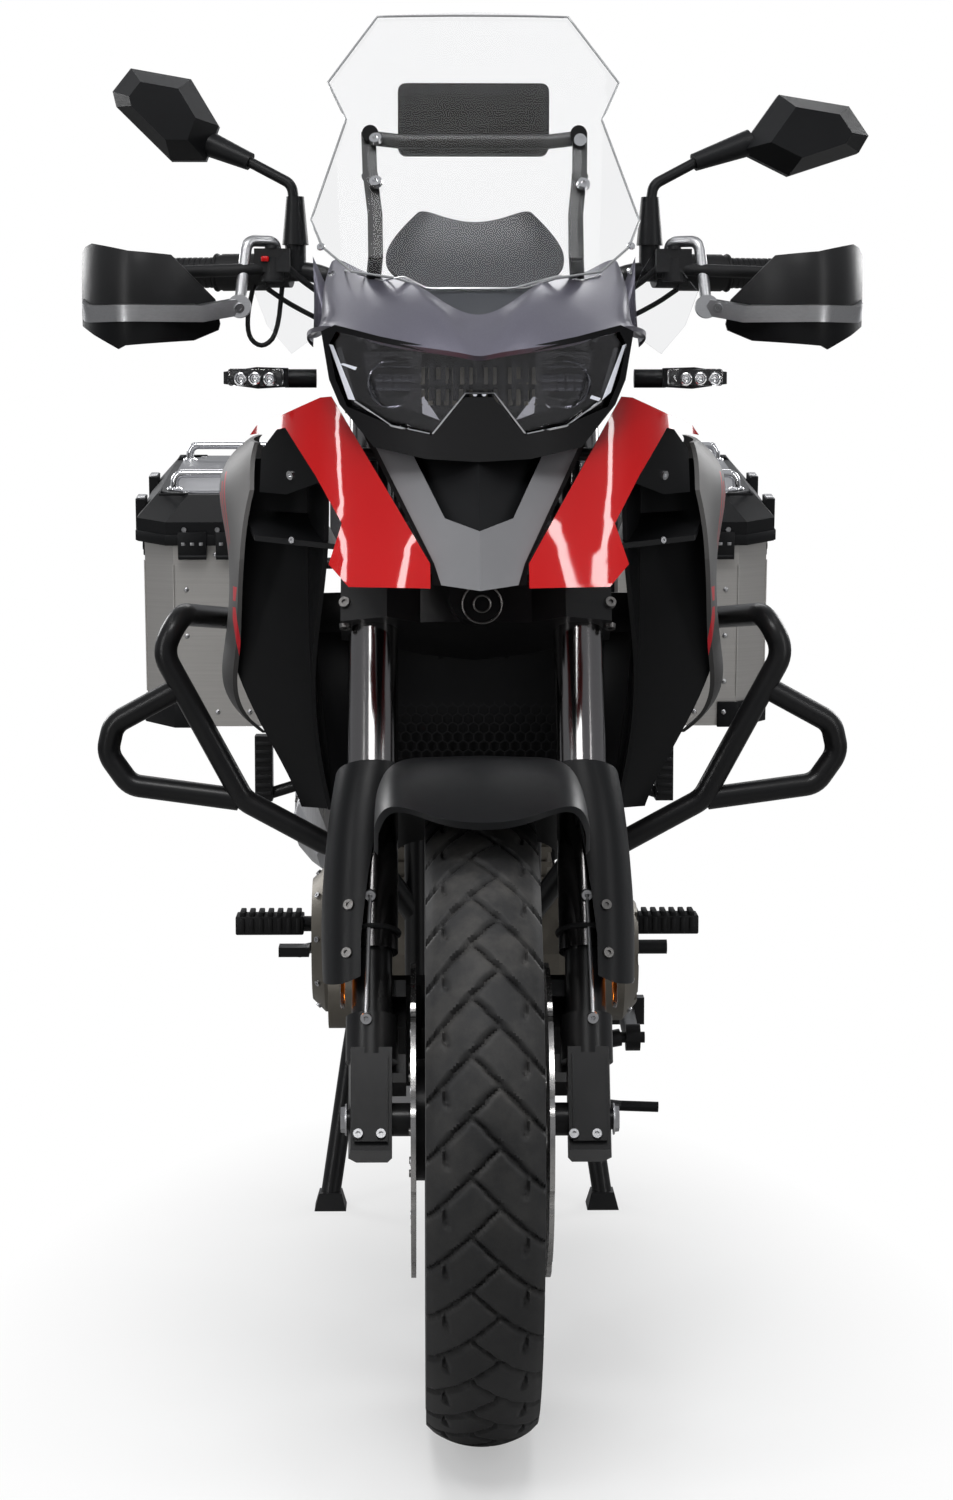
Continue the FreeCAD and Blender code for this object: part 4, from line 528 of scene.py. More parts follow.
# Nodes that wear another finish than the one of their material slot
NODE_FINISH = {
    "side_panels": "side_panel", "headlight_lens": "smoked", "front_discs": "disc_front",
    "rear_disc": "disc_rear", "fork_tubes": "fork_chrome", "chain": "dark_steel",
    "rear_sprocket": "dark_steel", "headlight_reflectors": "gloss_black",
    "headlight_housing": "gloss_black", "handguards": "guard", "footrests": "black_metal",
}


# Mesh helpers

def turned(axis, degrees):
    """A turn about one axis."""
    return Matrix.Rotation(math.radians(degrees), 4, axis)


def edges_of(verts):
    """The edges that touch any of the vertices."""
    return list({e for v in verts for e in v.link_edges})


def only(kind, geom):
    """The vertices or edges of what an operator returned."""
    return [item for item in geom if isinstance(item, kind)]


def linked(name, data):
    """A new object in the scene."""
    made = bpy.data.objects.new(name, data)
    bpy.context.scene.collection.objects.link(made)
    return made


def mesh_of(name, bm):
    """A new mesh from a bmesh, which is freed."""
    mesh = bpy.data.meshes.new(name)
    bm.to_mesh(mesh)
    bm.free()
    return mesh


def copy_of(node_name, merge):
    """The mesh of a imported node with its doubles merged."""
    bm = bmesh.new()
    bm.from_mesh(NODES[node_name].data)
    bmesh.ops.remove_doubles(bm, verts=bm.verts, dist=merge)
    return bm


def add_piece(name, bm, look, body, smooth=35, merge=0.0):
    """Turns a bmesh into a piece that rides on a body."""
    if merge:
        bmesh.ops.remove_doubles(bm, verts=bm.verts, dist=merge)
    bmesh.ops.recalc_face_normals(bm, faces=bm.faces)
    mesh = mesh_of(name, bm)
    mesh.materials.append(FINISHES[look])
    mesh.shade_smooth()
    mesh.set_sharp_from_angle(angle=math.radians(smooth))
    piece = linked(name, mesh)
    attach(piece, body)
    return piece


TREES = {}


def tree_of(name):
    """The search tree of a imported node, which is built when it is first asked for."""
    if name not in TREES:
        mesh = NODES[name].data
        TREES[name] = BVHTree.FromPolygons(
            [v.co.copy() for v in mesh.vertices], [tuple(p.vertices) for p in mesh.polygons])
    return TREES[name]


def landing(names, start, toward):
    """The first point and outward normal that a ray meets on the named nodes."""
    toward = Vector(toward).normalized()
    hits = [tree_of(name).ray_cast(Vector(start), toward) for name in names]
    hits = [hit for hit in hits if hit[0] is not None]
    if not hits:
        raise RuntimeError("no surface of %s lies along the ray from %s" % (names, tuple(start)))
    point, normal = min(hits, key=lambda hit: hit[3])[:2]
    return point, -normal if normal.dot(toward) > 0 else normal


def sight(px, py):
    """The camera's place and the direction of a pixel of the photograph."""
    camera = bpy.context.scene.motorcycle_camera
    focal = camera.lens / SENSOR * PHOTO_HIGH
    ray = Vector(((px - PHOTO_WIDE / 2) / focal, (PHOTO_HIGH / 2 - py) / focal, -1.0))
    return Vector(camera.place), Euler((camera.tilt, 0, camera.turn)).to_matrix() @ ray


def seen(names, px, py):
    """Where a pixel of the photograph lands on the named nodes, or the nearest pixel that does."""
    for reach in range(15):
        for step in range(8 if reach else 1):
            turn = step * math.pi / 4
            try:
                return landing(names, *sight(px + reach * math.cos(turn), py + reach * math.sin(turn)))
            except RuntimeError:
                continue
    raise RuntimeError("pixel %s, %s lies off %s" % (px, py, names))


def within(px, py, depth):
    """A point behind the headlight lens on a pixel of the photograph."""
    return seen(("headlight_lens",), px, py)[0] + sight(px, py)[1].normalized() * depth


def at(x, y, z):
    """A point given in millimetres."""
    return Vector((x, y, z)) / 1000


def mark(x, y, z):
    """A place given in millimetres, with no turn."""
    return Matrix.Translation(at(x, y, z))


def ahead(names, x, z):
    """Where a level ray from the front at x, z in millimetres meets the named nodes."""
    return landing(names, at(x, -2000, z), BACKWARD)


def beside(names, side, y, z):
    """Where a level ray from one side at y, z in millimetres meets the named nodes."""
    return landing(names, at(side * 900, y, z), (-side, 0, 0))


def fork_y(z):
    """The fork line runs through the axle at the rake angle."""
    return FRONT_AXLE.y * 1000 + (z - FRONT_AXLE.z * 1000) * math.tan(RAKE)


def facing(point, normal):
    """A place at a point with its Z axis along a direction."""
    return Matrix.Translation(point) @ normal.to_track_quat("Z", "Y").to_matrix().to_4x4()


def soften(bm, edges, offset):
    """Bevels edges a little."""
    bmesh.ops.bevel(bm, geom=edges, offset=offset, offset_type="OFFSET", segments=2, profile=0.5,
                    affect="EDGES", material=-1)


def disc_cap(bm, place, radius, height, sides=20, taper=0.94, socket=0.5):
    """A turned head with a socket in its top."""
    made = bmesh.ops.create_cone(bm, cap_ends=True, segments=sides, radius1=radius, radius2=radius * taper,
                                 depth=height, matrix=place @ Matrix.Translation((0, 0, height / 2)))
    if socket:
        up = place.to_3x3() @ AXIS_Z
        faces = {f for v in made["verts"] for f in v.link_faces}
        level = max(f.calc_center_median().dot(up) for f in faces)
        top = [f for f in faces if len(f.verts) == sides and f.calc_center_median().dot(up) == level]
        bmesh.ops.inset_individual(bm, faces=top, thickness=radius * (1 - socket) * 0.96, depth=0)
        bmesh.ops.inset_individual(bm, faces=top, thickness=radius * 0.02, depth=-height * 0.55)


def block(bm, place, size, bevel):
    """A box with softened edges."""
    made = bmesh.ops.create_cube(bm, size=1.0, matrix=place @ Matrix.Diagonal((*size, 1.0)))
    soften(bm, edges_of(made["verts"]), bevel)
    return made


def bar_between(bm, a, b, radius, sides):
    """A round bar from one point to another."""
    bmesh.ops.create_cone(bm, cap_ends=True, segments=sides, radius1=radius, radius2=radius,
                          depth=(b - a).length, matrix=facing((a + b) / 2, b - a))


def ringed(bm, place, radius, tube, steps, sides=8):
    """A round ring about the place's own axis."""
    section = Matrix.Translation((radius, 0, 0)) @ turned("X", 90)
    verts = bmesh.ops.create_circle(bm, cap_ends=False, segments=sides, radius=tube, matrix=section)["verts"]
    edges = edges_of(verts)
    for v in verts:
        v.co = place @ v.co
    bmesh.ops.spin(bm, geom=verts + edges, cent=place.translation, axis=place.to_3x3() @ AXIS_Z,
                   angle=math.tau, steps=steps, use_merge=True)


def spaced(points, step):
    """Points along a polyline no further apart than a step."""
    out = [points[0]]
    for a, b in zip(points, points[1:]):
        count = max(1, math.ceil((b - a).length / step))
        out += [a.lerp(b, i / count) for i in range(1, count + 1)]
    return out


def rounded(points, rounds):
    """Cuts the corners of a polyline so that it runs smoothly."""
    for _ in range(rounds):
        cut = [points[0]]
        for a, b in zip(points, points[1:]):
            cut += [a.lerp(b, 0.25), a.lerp(b, 0.75)]
        points = cut + [points[-1]]
    return points


def filleted(points, bend, steps=6):
    """A polyline with its corners turned into arcs."""
    out = [points[0]]
    for before, corner, after in zip(points, points[1:], points[2:]):
        a = (before - corner).normalized() * bend
        b = (after - corner).normalized() * bend
        hub = corner + a + b
        for i in range(steps + 1):
            turn = math.pi / 2 * i / steps
            out.append(hub - b * math.cos(turn) - a * math.sin(turn))
    return out + [points[-1]]


def swept(bm, points, radius, sides=12, rounds=2):
    """A round line swept along a smoothed path."""
    path = rounded(points, rounds)
    heading = (path[1] - path[0]).normalized()
    verts = bmesh.ops.create_circle(bm, cap_ends=True, segments=sides, radius=radius,
                                    matrix=facing(path[0], heading))["verts"]
    edges = edges_of(verts)
    for i in range(1, len(path)):
        onward = (path[min(i + 1, len(path) - 1)] - path[i - 1]).normalized()
        turn = heading.rotation_difference(onward)
        made = bmesh.ops.extrude_edge_only(bm, edges=edges)["geom"]
        edges = [e for e in only(bmesh.types.BMEdge, made) if all(v in made for v in e.verts)]
        for v in {v for e in edges for v in e.verts}:
            v.co = path[i] + turn @ (v.co - path[i - 1])
        heading = onward
    bmesh.ops.holes_fill(bm, edges=edges, sides=0)


def sheet(bm, corners, shift, bevel=0.0):
    """A flat sheet through corners, thickened by a shift."""
    verts = [bm.verts.new(c) for c in corners]
    edges = [bm.edges.new(pair) for pair in zip(verts, verts[1:] + verts[:1])]
    face = bmesh.ops.contextual_create(bm, geom=verts + edges)["faces"]
    made = bmesh.ops.extrude_face_region(bm, geom=face)["geom"]
    bmesh.ops.translate(bm, verts=only(bmesh.types.BMVert, made), vec=shift)
    if bevel:
        soften(bm, list({*edges_of(verts), *only(bmesh.types.BMEdge, made)}), bevel)


def faced(node_name, toward, margin, thick, behind):
    """A thin plate on the faces of a node that look one way behind a place, set in by a margin."""
    bm = copy_of(node_name, 0.00002)
    bm.normal_update()
    other = [f for f in bm.faces if f.normal.dot(toward) < 0.97 or f.calc_center_median().y <= behind]
    bmesh.ops.delete(bm, geom=other, context="FACES")
    bmesh.ops.dissolve_limit(bm, angle_limit=0.02, verts=bm.verts, edges=bm.edges)
    border = bmesh.ops.inset_region(bm, faces=bm.faces[:], thickness=margin, use_boundary=True,
                                    use_even_offset=True)["faces"]
    bmesh.ops.delete(bm, geom=border, context="FACES")
    made = bmesh.ops.extrude_face_region(bm, geom=bm.faces[:])["geom"]
    bmesh.ops.translate(bm, verts=only(bmesh.types.BMVert, made), vec=toward * thick)
    return bm


def pixels_along(line, parts):
    """Pixels spread along a line of pixels, without its last one."""
    return [(ax + (bx - ax) * i / parts, ay + (by - ay) * i / parts)
            for (ax, ay), (bx, by) in zip(line, line[1:]) for i in range(parts)]


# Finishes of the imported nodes

class MOTORCYCLE_OT_finishes(bpy.types.Operator):
    """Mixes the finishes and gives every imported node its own"""
    bl_idname = "motorcycle.finishes"
    bl_label = "Finishes"

    def execute(self, context):
        paint = context.scene.motorcycle_paint
        mix_plastics(paint)
        mix_paints(paint)
        mix_metals(paint)
        mix_glass()
        for part in frame["record"]["subparts"]:
            mesh = NODES[part["node"]].data
            mesh.materials.clear()
            mesh.materials.append(FINISHES[NODE_FINISH.get(part["node"], part["material_slot"])])
        return {"FINISHED"}


# Tyres

FRONT_RIM_RADIUS = 0.241
REAR_RIM_RADIUS = 0.216
REAR_FEWER_PITCHES = 8
BEAD_GAP = 0.0003
BEAD_SHARE = 0.62
SHOULDER_SHARE = 0.42
# Distance outside the rim and depth of the rings pressed into the side walls
WALL_RINGS = ((0.030, 0.0012), (0.055, 0.0008))
CROWN_SPACING = 0.0031


def wrapped(value, pitch):
    """A distance along the tread, carried to the nearest half pitch."""
    return (value + pitch / 2) % pitch - pitch / 2


def groove(across, along, pitch, half, settings):
    """Depth of the tread: main grooves pass the middle from each side, short ones stand between them."""
    rise = 1.08
    reach = half * 0.20
    short = -half * 0.66
    depth = 0.0
    for side in SIDES:
        x = across * side
        shift = 0 if side < 0 else pitch / 2
        if -half * 0.99 < x < reach:
            off = wrapped(along - rise * (x + half) - shift, pitch)
            width = settings.groove_width * (0.36 + 0.16 * math.sin((x + half) / (half + reach) * math.pi))
            fall = 1 - min(1.0, abs(off) * 0.68 / width)
            depth = max(depth, settings.groove_depth * min(1.0, fall * 2.6))
        if -half * 0.74 < x < -half * 0.60:
            off = (rise * (short + half) + shift - along) % pitch
            if pitch * 0.06 < off < pitch * 0.44:
                line = short + (off / pitch - 0.25) * half * 0.10
                fall = 1 - min(1.0, abs(x - line) / (settings.groove_width * 0.34))
                depth = max(depth, settings.groove_depth * 0.8 * min(1.0, fall * 2.4))
    return depth


def mirrored(points):
    """Points carried across the middle plane."""
    return [Vector((-p.x, 0, p.z)) for p in points]


def tyre_outline(rim, outer, half, step):
    """Section of a tyre as a closed loop: side wall, crown, other wall and the inside."""
    bead = half * BEAD_SHARE
    shoulder = outer - half * SHOULDER_SHARE
    wall_high = shoulder - rim
    side = [Vector((x, 0, r)) for x, r in (
        (-bead, rim + BEAD_GAP), (-bead, rim + 0.0123), (-bead - 0.005, rim + 0.018),
        (-half * 0.95, rim + wall_high * 0.45), (-half, rim + wall_high * 0.72),
        (-half * 0.98, shoulder + 0.001), (-half * 0.80, outer - half * 0.225),
        (-half * 0.42, outer - half * 0.058), (0, outer))]
    wall = side[:2] + rounded(side[2:6], 2)
    crown = spaced(rounded(side[5:] + mirrored(side[7:4:-1]), 3), step)
    inner = [Vector((x, 0, r)) for x, r in (
        (-bead + 0.010, rim + BEAD_GAP), (-bead + 0.010, rim + 0.012), (-half * 0.80, shoulder - 0.010),
        (-half * 0.5, outer - half * 0.2 - 0.012), (0, outer - 0.016))]
    return wall + crown[1:-1] + mirrored(reversed(wall)) + mirrored(inner) + inner[-2::-1] + wall[:1]


def tread_tyre(name, node_name, rim, pitches, body):
    """Spins one pitch of a tyre, cuts its tread and repeats it round the wheel."""
    settings = bpy.context.scene.motorcycle_tyre
    low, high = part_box(node_name)
    centre = (low + high) / 2
    outer = (high.z - low.z) / 2 - 0.0003
    half = (high.x - low.x) / 2 - 0.0002
    shoulder = outer - half * SHOULDER_SHARE
    part = math.tau / pitches
    step, divisions = ((CROWN_SPACING, settings.steps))
    bm = bmesh.new()
    verts = [bm.verts.new(centre + p) for p in tyre_outline(rim, outer, half, step)]
    edges = [bm.edges.new(pair) for pair in zip(verts, verts[1:])]
    bmesh.ops.spin(bm, geom=verts + edges, cent=centre, axis=AXIS_X, angle=part, steps=divisions)
    bmesh.ops.remove_doubles(bm, verts=bm.verts, dist=1e-6)
    for v in bm.verts:
        x, y, z = v.co - centre
        radius = math.hypot(y, z)
        crown = outer - 0.010 - half * SHOULDER_SHARE * (abs(x) / half) ** 2
        if abs(x) < half * 0.999 and radius > max(shoulder - 0.004, crown):
            down = groove(x, math.atan2(y, z) * outer, part * outer, half, settings)
            scale = (radius - down) / radius
            v.co = centre + Vector((x, y * scale, z * scale))
    for reach, height in WALL_RINGS:
        for v in bm.verts:
            x, y, z = v.co - centre
            if abs(x) > half * BEAD_SHARE * 1.02 and abs(math.hypot(y, z) - rim - reach) < 0.004:
                v.co.x -= math.copysign(height, x)
    pattern = bm.verts[:] + bm.edges[:] + bm.faces[:]
    for i in range(1, pitches):
        copied = only(bmesh.types.BMVert, bmesh.ops.duplicate(bm, geom=pattern)["geom"])
        bmesh.ops.rotate(bm, verts=copied, cent=centre, matrix=Matrix.Rotation(part * i, 3, "X"))
    piece = add_piece(name, bm, "tyre", body, 55, merge=1e-5)
    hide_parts(node_name)


class MOTORCYCLE_OT_tyres(bpy.types.Operator):
    """Makes both tyres with their cut tread"""
    bl_idname = "motorcycle.tyres"
    bl_label = "Tyres"

    def execute(self, context):
        pitches = context.scene.motorcycle_tyre.pitches
        rear_pitches = pitches - REAR_FEWER_PITCHES
        tread_tyre("front_tread_tyre", "front_tyre", FRONT_RIM_RADIUS, pitches, "front_wheel")
        tread_tyre("rear_tread_tyre", "rear_tyre", REAR_RIM_RADIUS, rear_pitches, "rear_wheel")
        return {"FINISHED"}


# Seat

# The cover starts below the solid, swells by pressure and is held to a limit
SINK = 0.0035
SWELL_PRESSURE = 3.0
SWELL_LIMIT = 0.006
CLOTH_FRAMES = 14
SEAM_ROW = 0.012
SEAM_DEPTH = 0.0026


def evaluated(piece):
    """The mesh of an object with its modifiers applied."""
    return bpy.data.meshes.new_from_object(piece.evaluated_get(bpy.context.evaluated_depsgraph_get()))


def stuffed(name, node_name):
    """A padded cover swollen a little from its solid by cloth simulation."""
    bm = copy_of(node_name, 0.00005)
    bmesh.ops.recalc_face_normals(bm, faces=bm.faces)
    raw = linked(name + "_raw", mesh_of(name, bm))
    remesh = raw.modifiers.new("Remesh", "REMESH")
    remesh.mode = "VOXEL"
    remesh.voxel_size = 0.006
    base = evaluated(raw)
    bpy.data.objects.remove(raw)
    bm = bmesh.new()
    bm.from_mesh(base)
    bmesh.ops.smooth_vert(bm, verts=bm.verts, factor=0.5, use_axis_x=True, use_axis_y=True, use_axis_z=True)
    bm.normal_update()
    for v in bm.verts:
        v.co -= v.normal * SINK
    start = [v.co.copy() for v in bm.verts]
    bm.to_mesh(base)
    bm.free()
    cover = linked(name + "_cover", base)
    cloth = cover.modifiers.new("Cloth", "CLOTH").settings
    cloth.use_pressure = True
    cloth.uniform_pressure_force = SWELL_PRESSURE
    cloth.effector_weights.gravity = 0
    cloth.quality = 5
    cloth.tension_stiffness = 40
    cloth.bending_stiffness = 2.0
    scene = bpy.context.scene
    for step in range(1, CLOTH_FRAMES + 1):
        scene.frame_set(step)
    final = evaluated(cover)
    scene.frame_set(1)
    bpy.data.objects.remove(cover)
    for v, home in zip(final.vertices, start):
        shift = v.co - home
        if shift.length > SWELL_LIMIT:
            v.co = home + shift.normalized() * SWELL_LIMIT
    return final


class MOTORCYCLE_OT_seat(bpy.types.Operator):
    """Makes the padded rider and passenger seat"""
    bl_idname = "motorcycle.seat"
    bl_label = "Seat"

    def execute(self, context):
        mesh = stuffed("seat_cushion", "seat")
        bm = bmesh.new()
        bm.from_mesh(mesh)
        bmesh.ops.subdivide_edges(bm, edges=bm.edges, cuts=1, use_grid_fill=True, smooth=0.6)
        bm.normal_update()
        rows = {}
        for v in bm.verts:
            row = round(v.co.y / SEAM_ROW)
            rows[row] = max(rows.get(row, 0), abs(v.co.x))
        for v in bm.verts:
            off = abs(abs(v.co.x) - rows[round(v.co.y / SEAM_ROW)] * 0.86)
            if v.normal.z > 0.15:
                v.co.z -= SEAM_DEPTH * max(0, 1 - off / 0.004)
        low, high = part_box("seat")
        for v in bm.verts:
            v.co = Vector(max(low[i] + 0.0002, min(high[i] - 0.0002, v.co[i])) for i in range(3))
        piece = add_piece("seat_cushion", bm, "seat_cover", "chassis", 60)
        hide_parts("seat")
        bpy.data.meshes.remove(mesh)
        return {"FINISHED"}


# Fasteners

# Piece, finish, body, radius and height in millimetres, socket, nodes it lands on, photo pixels
SEEN_BOLTS = (
    ("screen_bolts", "chrome", "chassis", 7.6, 5.0, 0.5, ("screen_bracket", "windscreen"),
     ((376, 140), (376, 183), (580, 140), (583, 185))),
    ("deflector_screws", "chrome", "chassis", 4.6, 2.4, 0.45,
     ("wind_deflectors", "windscreen", "front_cowl", "screen_bracket"),
     ((316, 247), (332, 274), (643, 246), (628, 272))),
    ("yoke_bolts", "dark_steel", "steering", 6.5, 5.0, 0.5, ("yokes",),
     ((345, 603), (345, 625), (610, 603), (610, 625))),
    ("collar_screws", "chrome", "chassis", 5.6, 3.0, 0.5, ("inner_shrouds", "side_panels"),
     ((291, 475), (664, 475))),
    ("shelf_screws", "steel", "chassis", 4.0, 2.0, 0.5, ("inner_shrouds",), ((292, 540), (663, 540))),
    ("fender_bolts", "dark_steel", "steering", 6.0, 3.6, 0.5, ("front_fender",),
     ((349, 905), (347, 953), (606, 905), (608, 953))),
    ("pinch_bolts", "steel", "steering", 5.4, 4.2, 0.5, ("fork_legs",),
     ((358, 1134), (381, 1134), (574, 1134), (597, 1134))),
    ("handguard_bolts", "steel", "steering", 6.0, 3.2, 0.5, ("handguard_bars",),
     ((239, 308), (718, 308))),
)
FRONT_HUB = (FRONT_AXLE.y * 1000, FRONT_AXLE.z * 1000)
REAR_HUB = (REAR_AXLE.y * 1000, REAR_AXLE.z * 1000)
# Piece, finish, body, node, middle in the side view, reach of the circle, count, radius and height of a
# head in millimetres, angle of the first, sides, socket
WHEEL_CIRCLES = (
    ("front_disc_bolts", "dark_steel", "front_wheel", "front_discs", FRONT_HUB, 57, 6, 4.2, 2.6, 0.0,
     SIDES, 0.5),
    ("front_disc_buttons", "alloy", "front_wheel", "front_discs", FRONT_HUB, 112, 10, 4.6, 1.1, 0.16,
     SIDES, 0.4),
    ("rear_disc_bolts", "dark_steel", "rear_wheel", "rear_disc", REAR_HUB, 52, 5, 4.4, 2.6, 0.0, (-1,), 0.5),
    ("sprocket_nuts", "steel", "rear_wheel", "rear_sprocket", REAR_HUB, 50, 6, 6.0, 4.0, 0.0, (1,), 0.5),
)
COVER_CIRCLES = (
    ("left_cover_bolts", "steel", "chassis", "engine", (-96, 386), 74, 8, 4.0, 3.0, 0.3, (1,), 0.5),
    ("right_cover_bolts", "steel", "chassis", "engine", (-20, 392), 84, 9, 4.0, 3.0, 0.2, (-1,), 0.5),
    ("tank_cap_screws", "dark_steel", "chassis", "fuel_tank", (-60, 950), 30, 3, 4.0, 1.6, 0.5, SIDES, 0.5),
)
# Ring of screws round the tank cap, in millimetres
FILLER_RING = 30
FILLER_Y = -153


class MOTORCYCLE_OT_fasteners(bpy.types.Operator):
    """Sets the bolts and screws on the surfaces that carry them"""
    bl_idname = "motorcycle.fasteners"
    bl_label = "Fasteners"

    def execute(self, context):
        for name, look, body, radius, height, socket, nodes, spots in SEEN_BOLTS:
            bm = bmesh.new()
            for spot in spots:
                point, normal = seen(nodes, *spot)
                place = facing(point - normal * 0.0006, normal)
                disc_cap(bm, place, radius / 1000, height / 1000, 18, 0.9, socket)
            add_piece(name, bm, look, body)
        for row in WHEEL_CIRCLES:
            self.circle(*row)
        self.axle_nuts()
        for row in COVER_CIRCLES:
            self.circle(*row)
        self.filler_screws()
        return {"FINISHED"}

    def circle(self, name, look, body, node_name, hub, reach, count, radius, height, first, sides, socket):
        bm = bmesh.new()
        for side in sides:
            for i in range(count):
                turn = first + math.tau * i / count
                point, normal = beside((node_name,), side, hub[0] + reach * math.cos(turn),
                                       hub[1] + reach * math.sin(turn))
                place = facing(point - normal * 0.0004, normal)
                disc_cap(bm, place, radius / 1000, height / 1000, 16, 0.92, socket)
        add_piece(name, bm, look, body)

    def axle_nuts(self):
        for name, node_name, hub, body in (
                ("front_axle_nuts", "fork_legs", FRONT_HUB, "steering"),
                ("rear_axle_nuts", "swingarm", REAR_HUB, "chassis")):
            bm = bmesh.new()
            for side in SIDES:
                point, normal = beside((node_name,), side, *hub)
                bmesh.ops.create_cone(bm, cap_ends=True, segments=28, radius1=0.0165, radius2=0.0160,
                                      depth=0.0016, matrix=facing(point + normal * 0.0002, normal))
                disc_cap(bm, facing(point + normal * 0.001, normal), 0.0138, 0.0046, 6, 0.96)
            add_piece(name, bm, "steel", body)

    def filler_screws(self):
        bm = bmesh.new()
        for i in range(7):
            turn = math.tau * i / 7
            above = at(FILLER_RING * math.cos(turn), FILLER_Y + FILLER_RING * math.sin(turn), 1300)
            disc_cap(bm, facing(*landing(("fuel_tank",), above, DOWN)), 0.0030, 0.0016, 14, 0.9)
        add_piece("filler_cap_screws", bm, "chrome", "chassis")


# Headlight and indicators, placed by pixels of the photograph

RUNNING_LIGHTS = (
    ((326, 344), (334, 345), (356, 400), (349, 399)), ((622, 345), (629, 344), (610, 392), (601, 400)),
    ((341, 364), (344, 363), (358, 367), (356, 370)), ((589, 398), (591, 395), (600, 398), (598, 401)),
)
LIGHT_DOTS = ((475, 394), (484, 394))
LOW_BEAM_ROWS = ((367, 384), (389, 405))
LOW_BEAM_START, LOW_BEAM_STEP, LOW_BEAM_COUNT = 423, 7.9, 15
HIGH_BEAMS = (398, 560)
HIGH_BEAM_TOP, HIGH_BEAM_STEP = 378, 9
BEAM_WEDGES = (((407, 407), (440, 420), (424, 396)), ((550, 407), (515, 420), (533, 396)))
BEAM_RIMS = (
    ((372, 366), (412, 366)), ((372, 396), (412, 400)), ((546, 366), (584, 366)), ((546, 400), (584, 396)),
)
BEAM_RINGS = ((392, 384), (566, 384))
LENS_EDGES = (
    ((433, 434), (466, 393), (494, 393), (525, 434)), ((430, 434), (392, 426), (355, 401)),
    ((527, 434), (566, 426), (601, 401)),
)
INDICATOR_CUPS = ((241, 379), (255, 378.5), (269.5, 379), (686, 379), (700, 378.5), (714, 379))
# Lenses of the indicators in millimetres
FRONT_LENS, REAR_LENS = (237, -536.5, 1088), (186, 1050, 724)


class MOTORCYCLE_OT_headlight(bpy.types.Operator):
    """Makes the running lights, the light modules and the bright edges of the headlight"""
    bl_idname = "motorcycle.headlight"
    bl_label = "Headlight"

    def execute(self, context):
        bm = bmesh.new()
        for quad in RUNNING_LIGHTS:
            sheet(bm, [within(*spot, 0.0065) for spot in quad], BACKWARD * 0.0016)
        for spot in LIGHT_DOTS:
            disc_cap(bm, facing(within(*spot, 0.012), FORWARD), 0.0022, 0.002, 14, 0.8, 0)
        add_piece("running_lights", bm, "white_light", "chassis")
        self.low_beams()
        self.high_beams()
        self.frames()
        return {"FINISHED"}

    def low_beams(self):
        bm = bmesh.new()
        for top, low in LOW_BEAM_ROWS:
            for i in range(LOW_BEAM_COUNT):
                px = LOW_BEAM_START + i * LOW_BEAM_STEP
                a, b = within(px, top, 0.020), within(px, low, 0.020)
                block(bm, Matrix.Translation((a + b) / 2), (0.0052, 0.007, (a - b).length), 0.0012)
        add_piece("low_beam_ribs", bm, "beam_glass", "chassis")

    def high_beams(self):
        bm = bmesh.new()
        for px in HIGH_BEAMS:
            for i in range(5):
                for j in range(2):
                    spot = within(px + (i - 2) * HIGH_BEAM_STEP, HIGH_BEAM_TOP + j * HIGH_BEAM_STEP, 0.018)
                    made = block(bm, Matrix.Translation(spot), (0.0080, 0.006, 0.0080), 0.0006)
                    faces = {f for v in made["verts"] if v.is_valid for f in v.link_faces}
                    front = [f for f in faces if f.normal.y < -0.9]
                    bmesh.ops.inset_individual(bm, faces=front, thickness=0.0012, depth=-0.002)
        add_piece("high_beam_cells", bm, "dark_chrome", "chassis")

    def frames(self):
        bm = bmesh.new()
        for corners in BEAM_WEDGES:
            sheet(bm, [within(*spot, 0.014) for spot in corners], BACKWARD * 0.002)
        add_piece("beam_wedges", bm, "chrome", "chassis")
        bm = bmesh.new()
        for start, end in BEAM_RIMS:
            bar_between(bm, within(*start, 0.018), within(*end, 0.018), 0.0016, 10)
        for spot in BEAM_RINGS:
            ringed(bm, facing(within(*spot, 0.016), FORWARD), 0.024, 0.0018, 36)
        add_piece("beam_rims", bm, "dark_chrome", "chassis")
        bm = bmesh.new()
        for line in LENS_EDGES:
            spots = [seen(("headlight_lens", "headlight_housing"), *spot)[0]
                     for spot in (*pixels_along(line, 7), line[-1])]
            swept(bm, [spot + FORWARD * 0.0006 for spot in spots], 0.0013, 8, 0)
        add_piece("headlight_edges", bm, "chrome", "chassis")


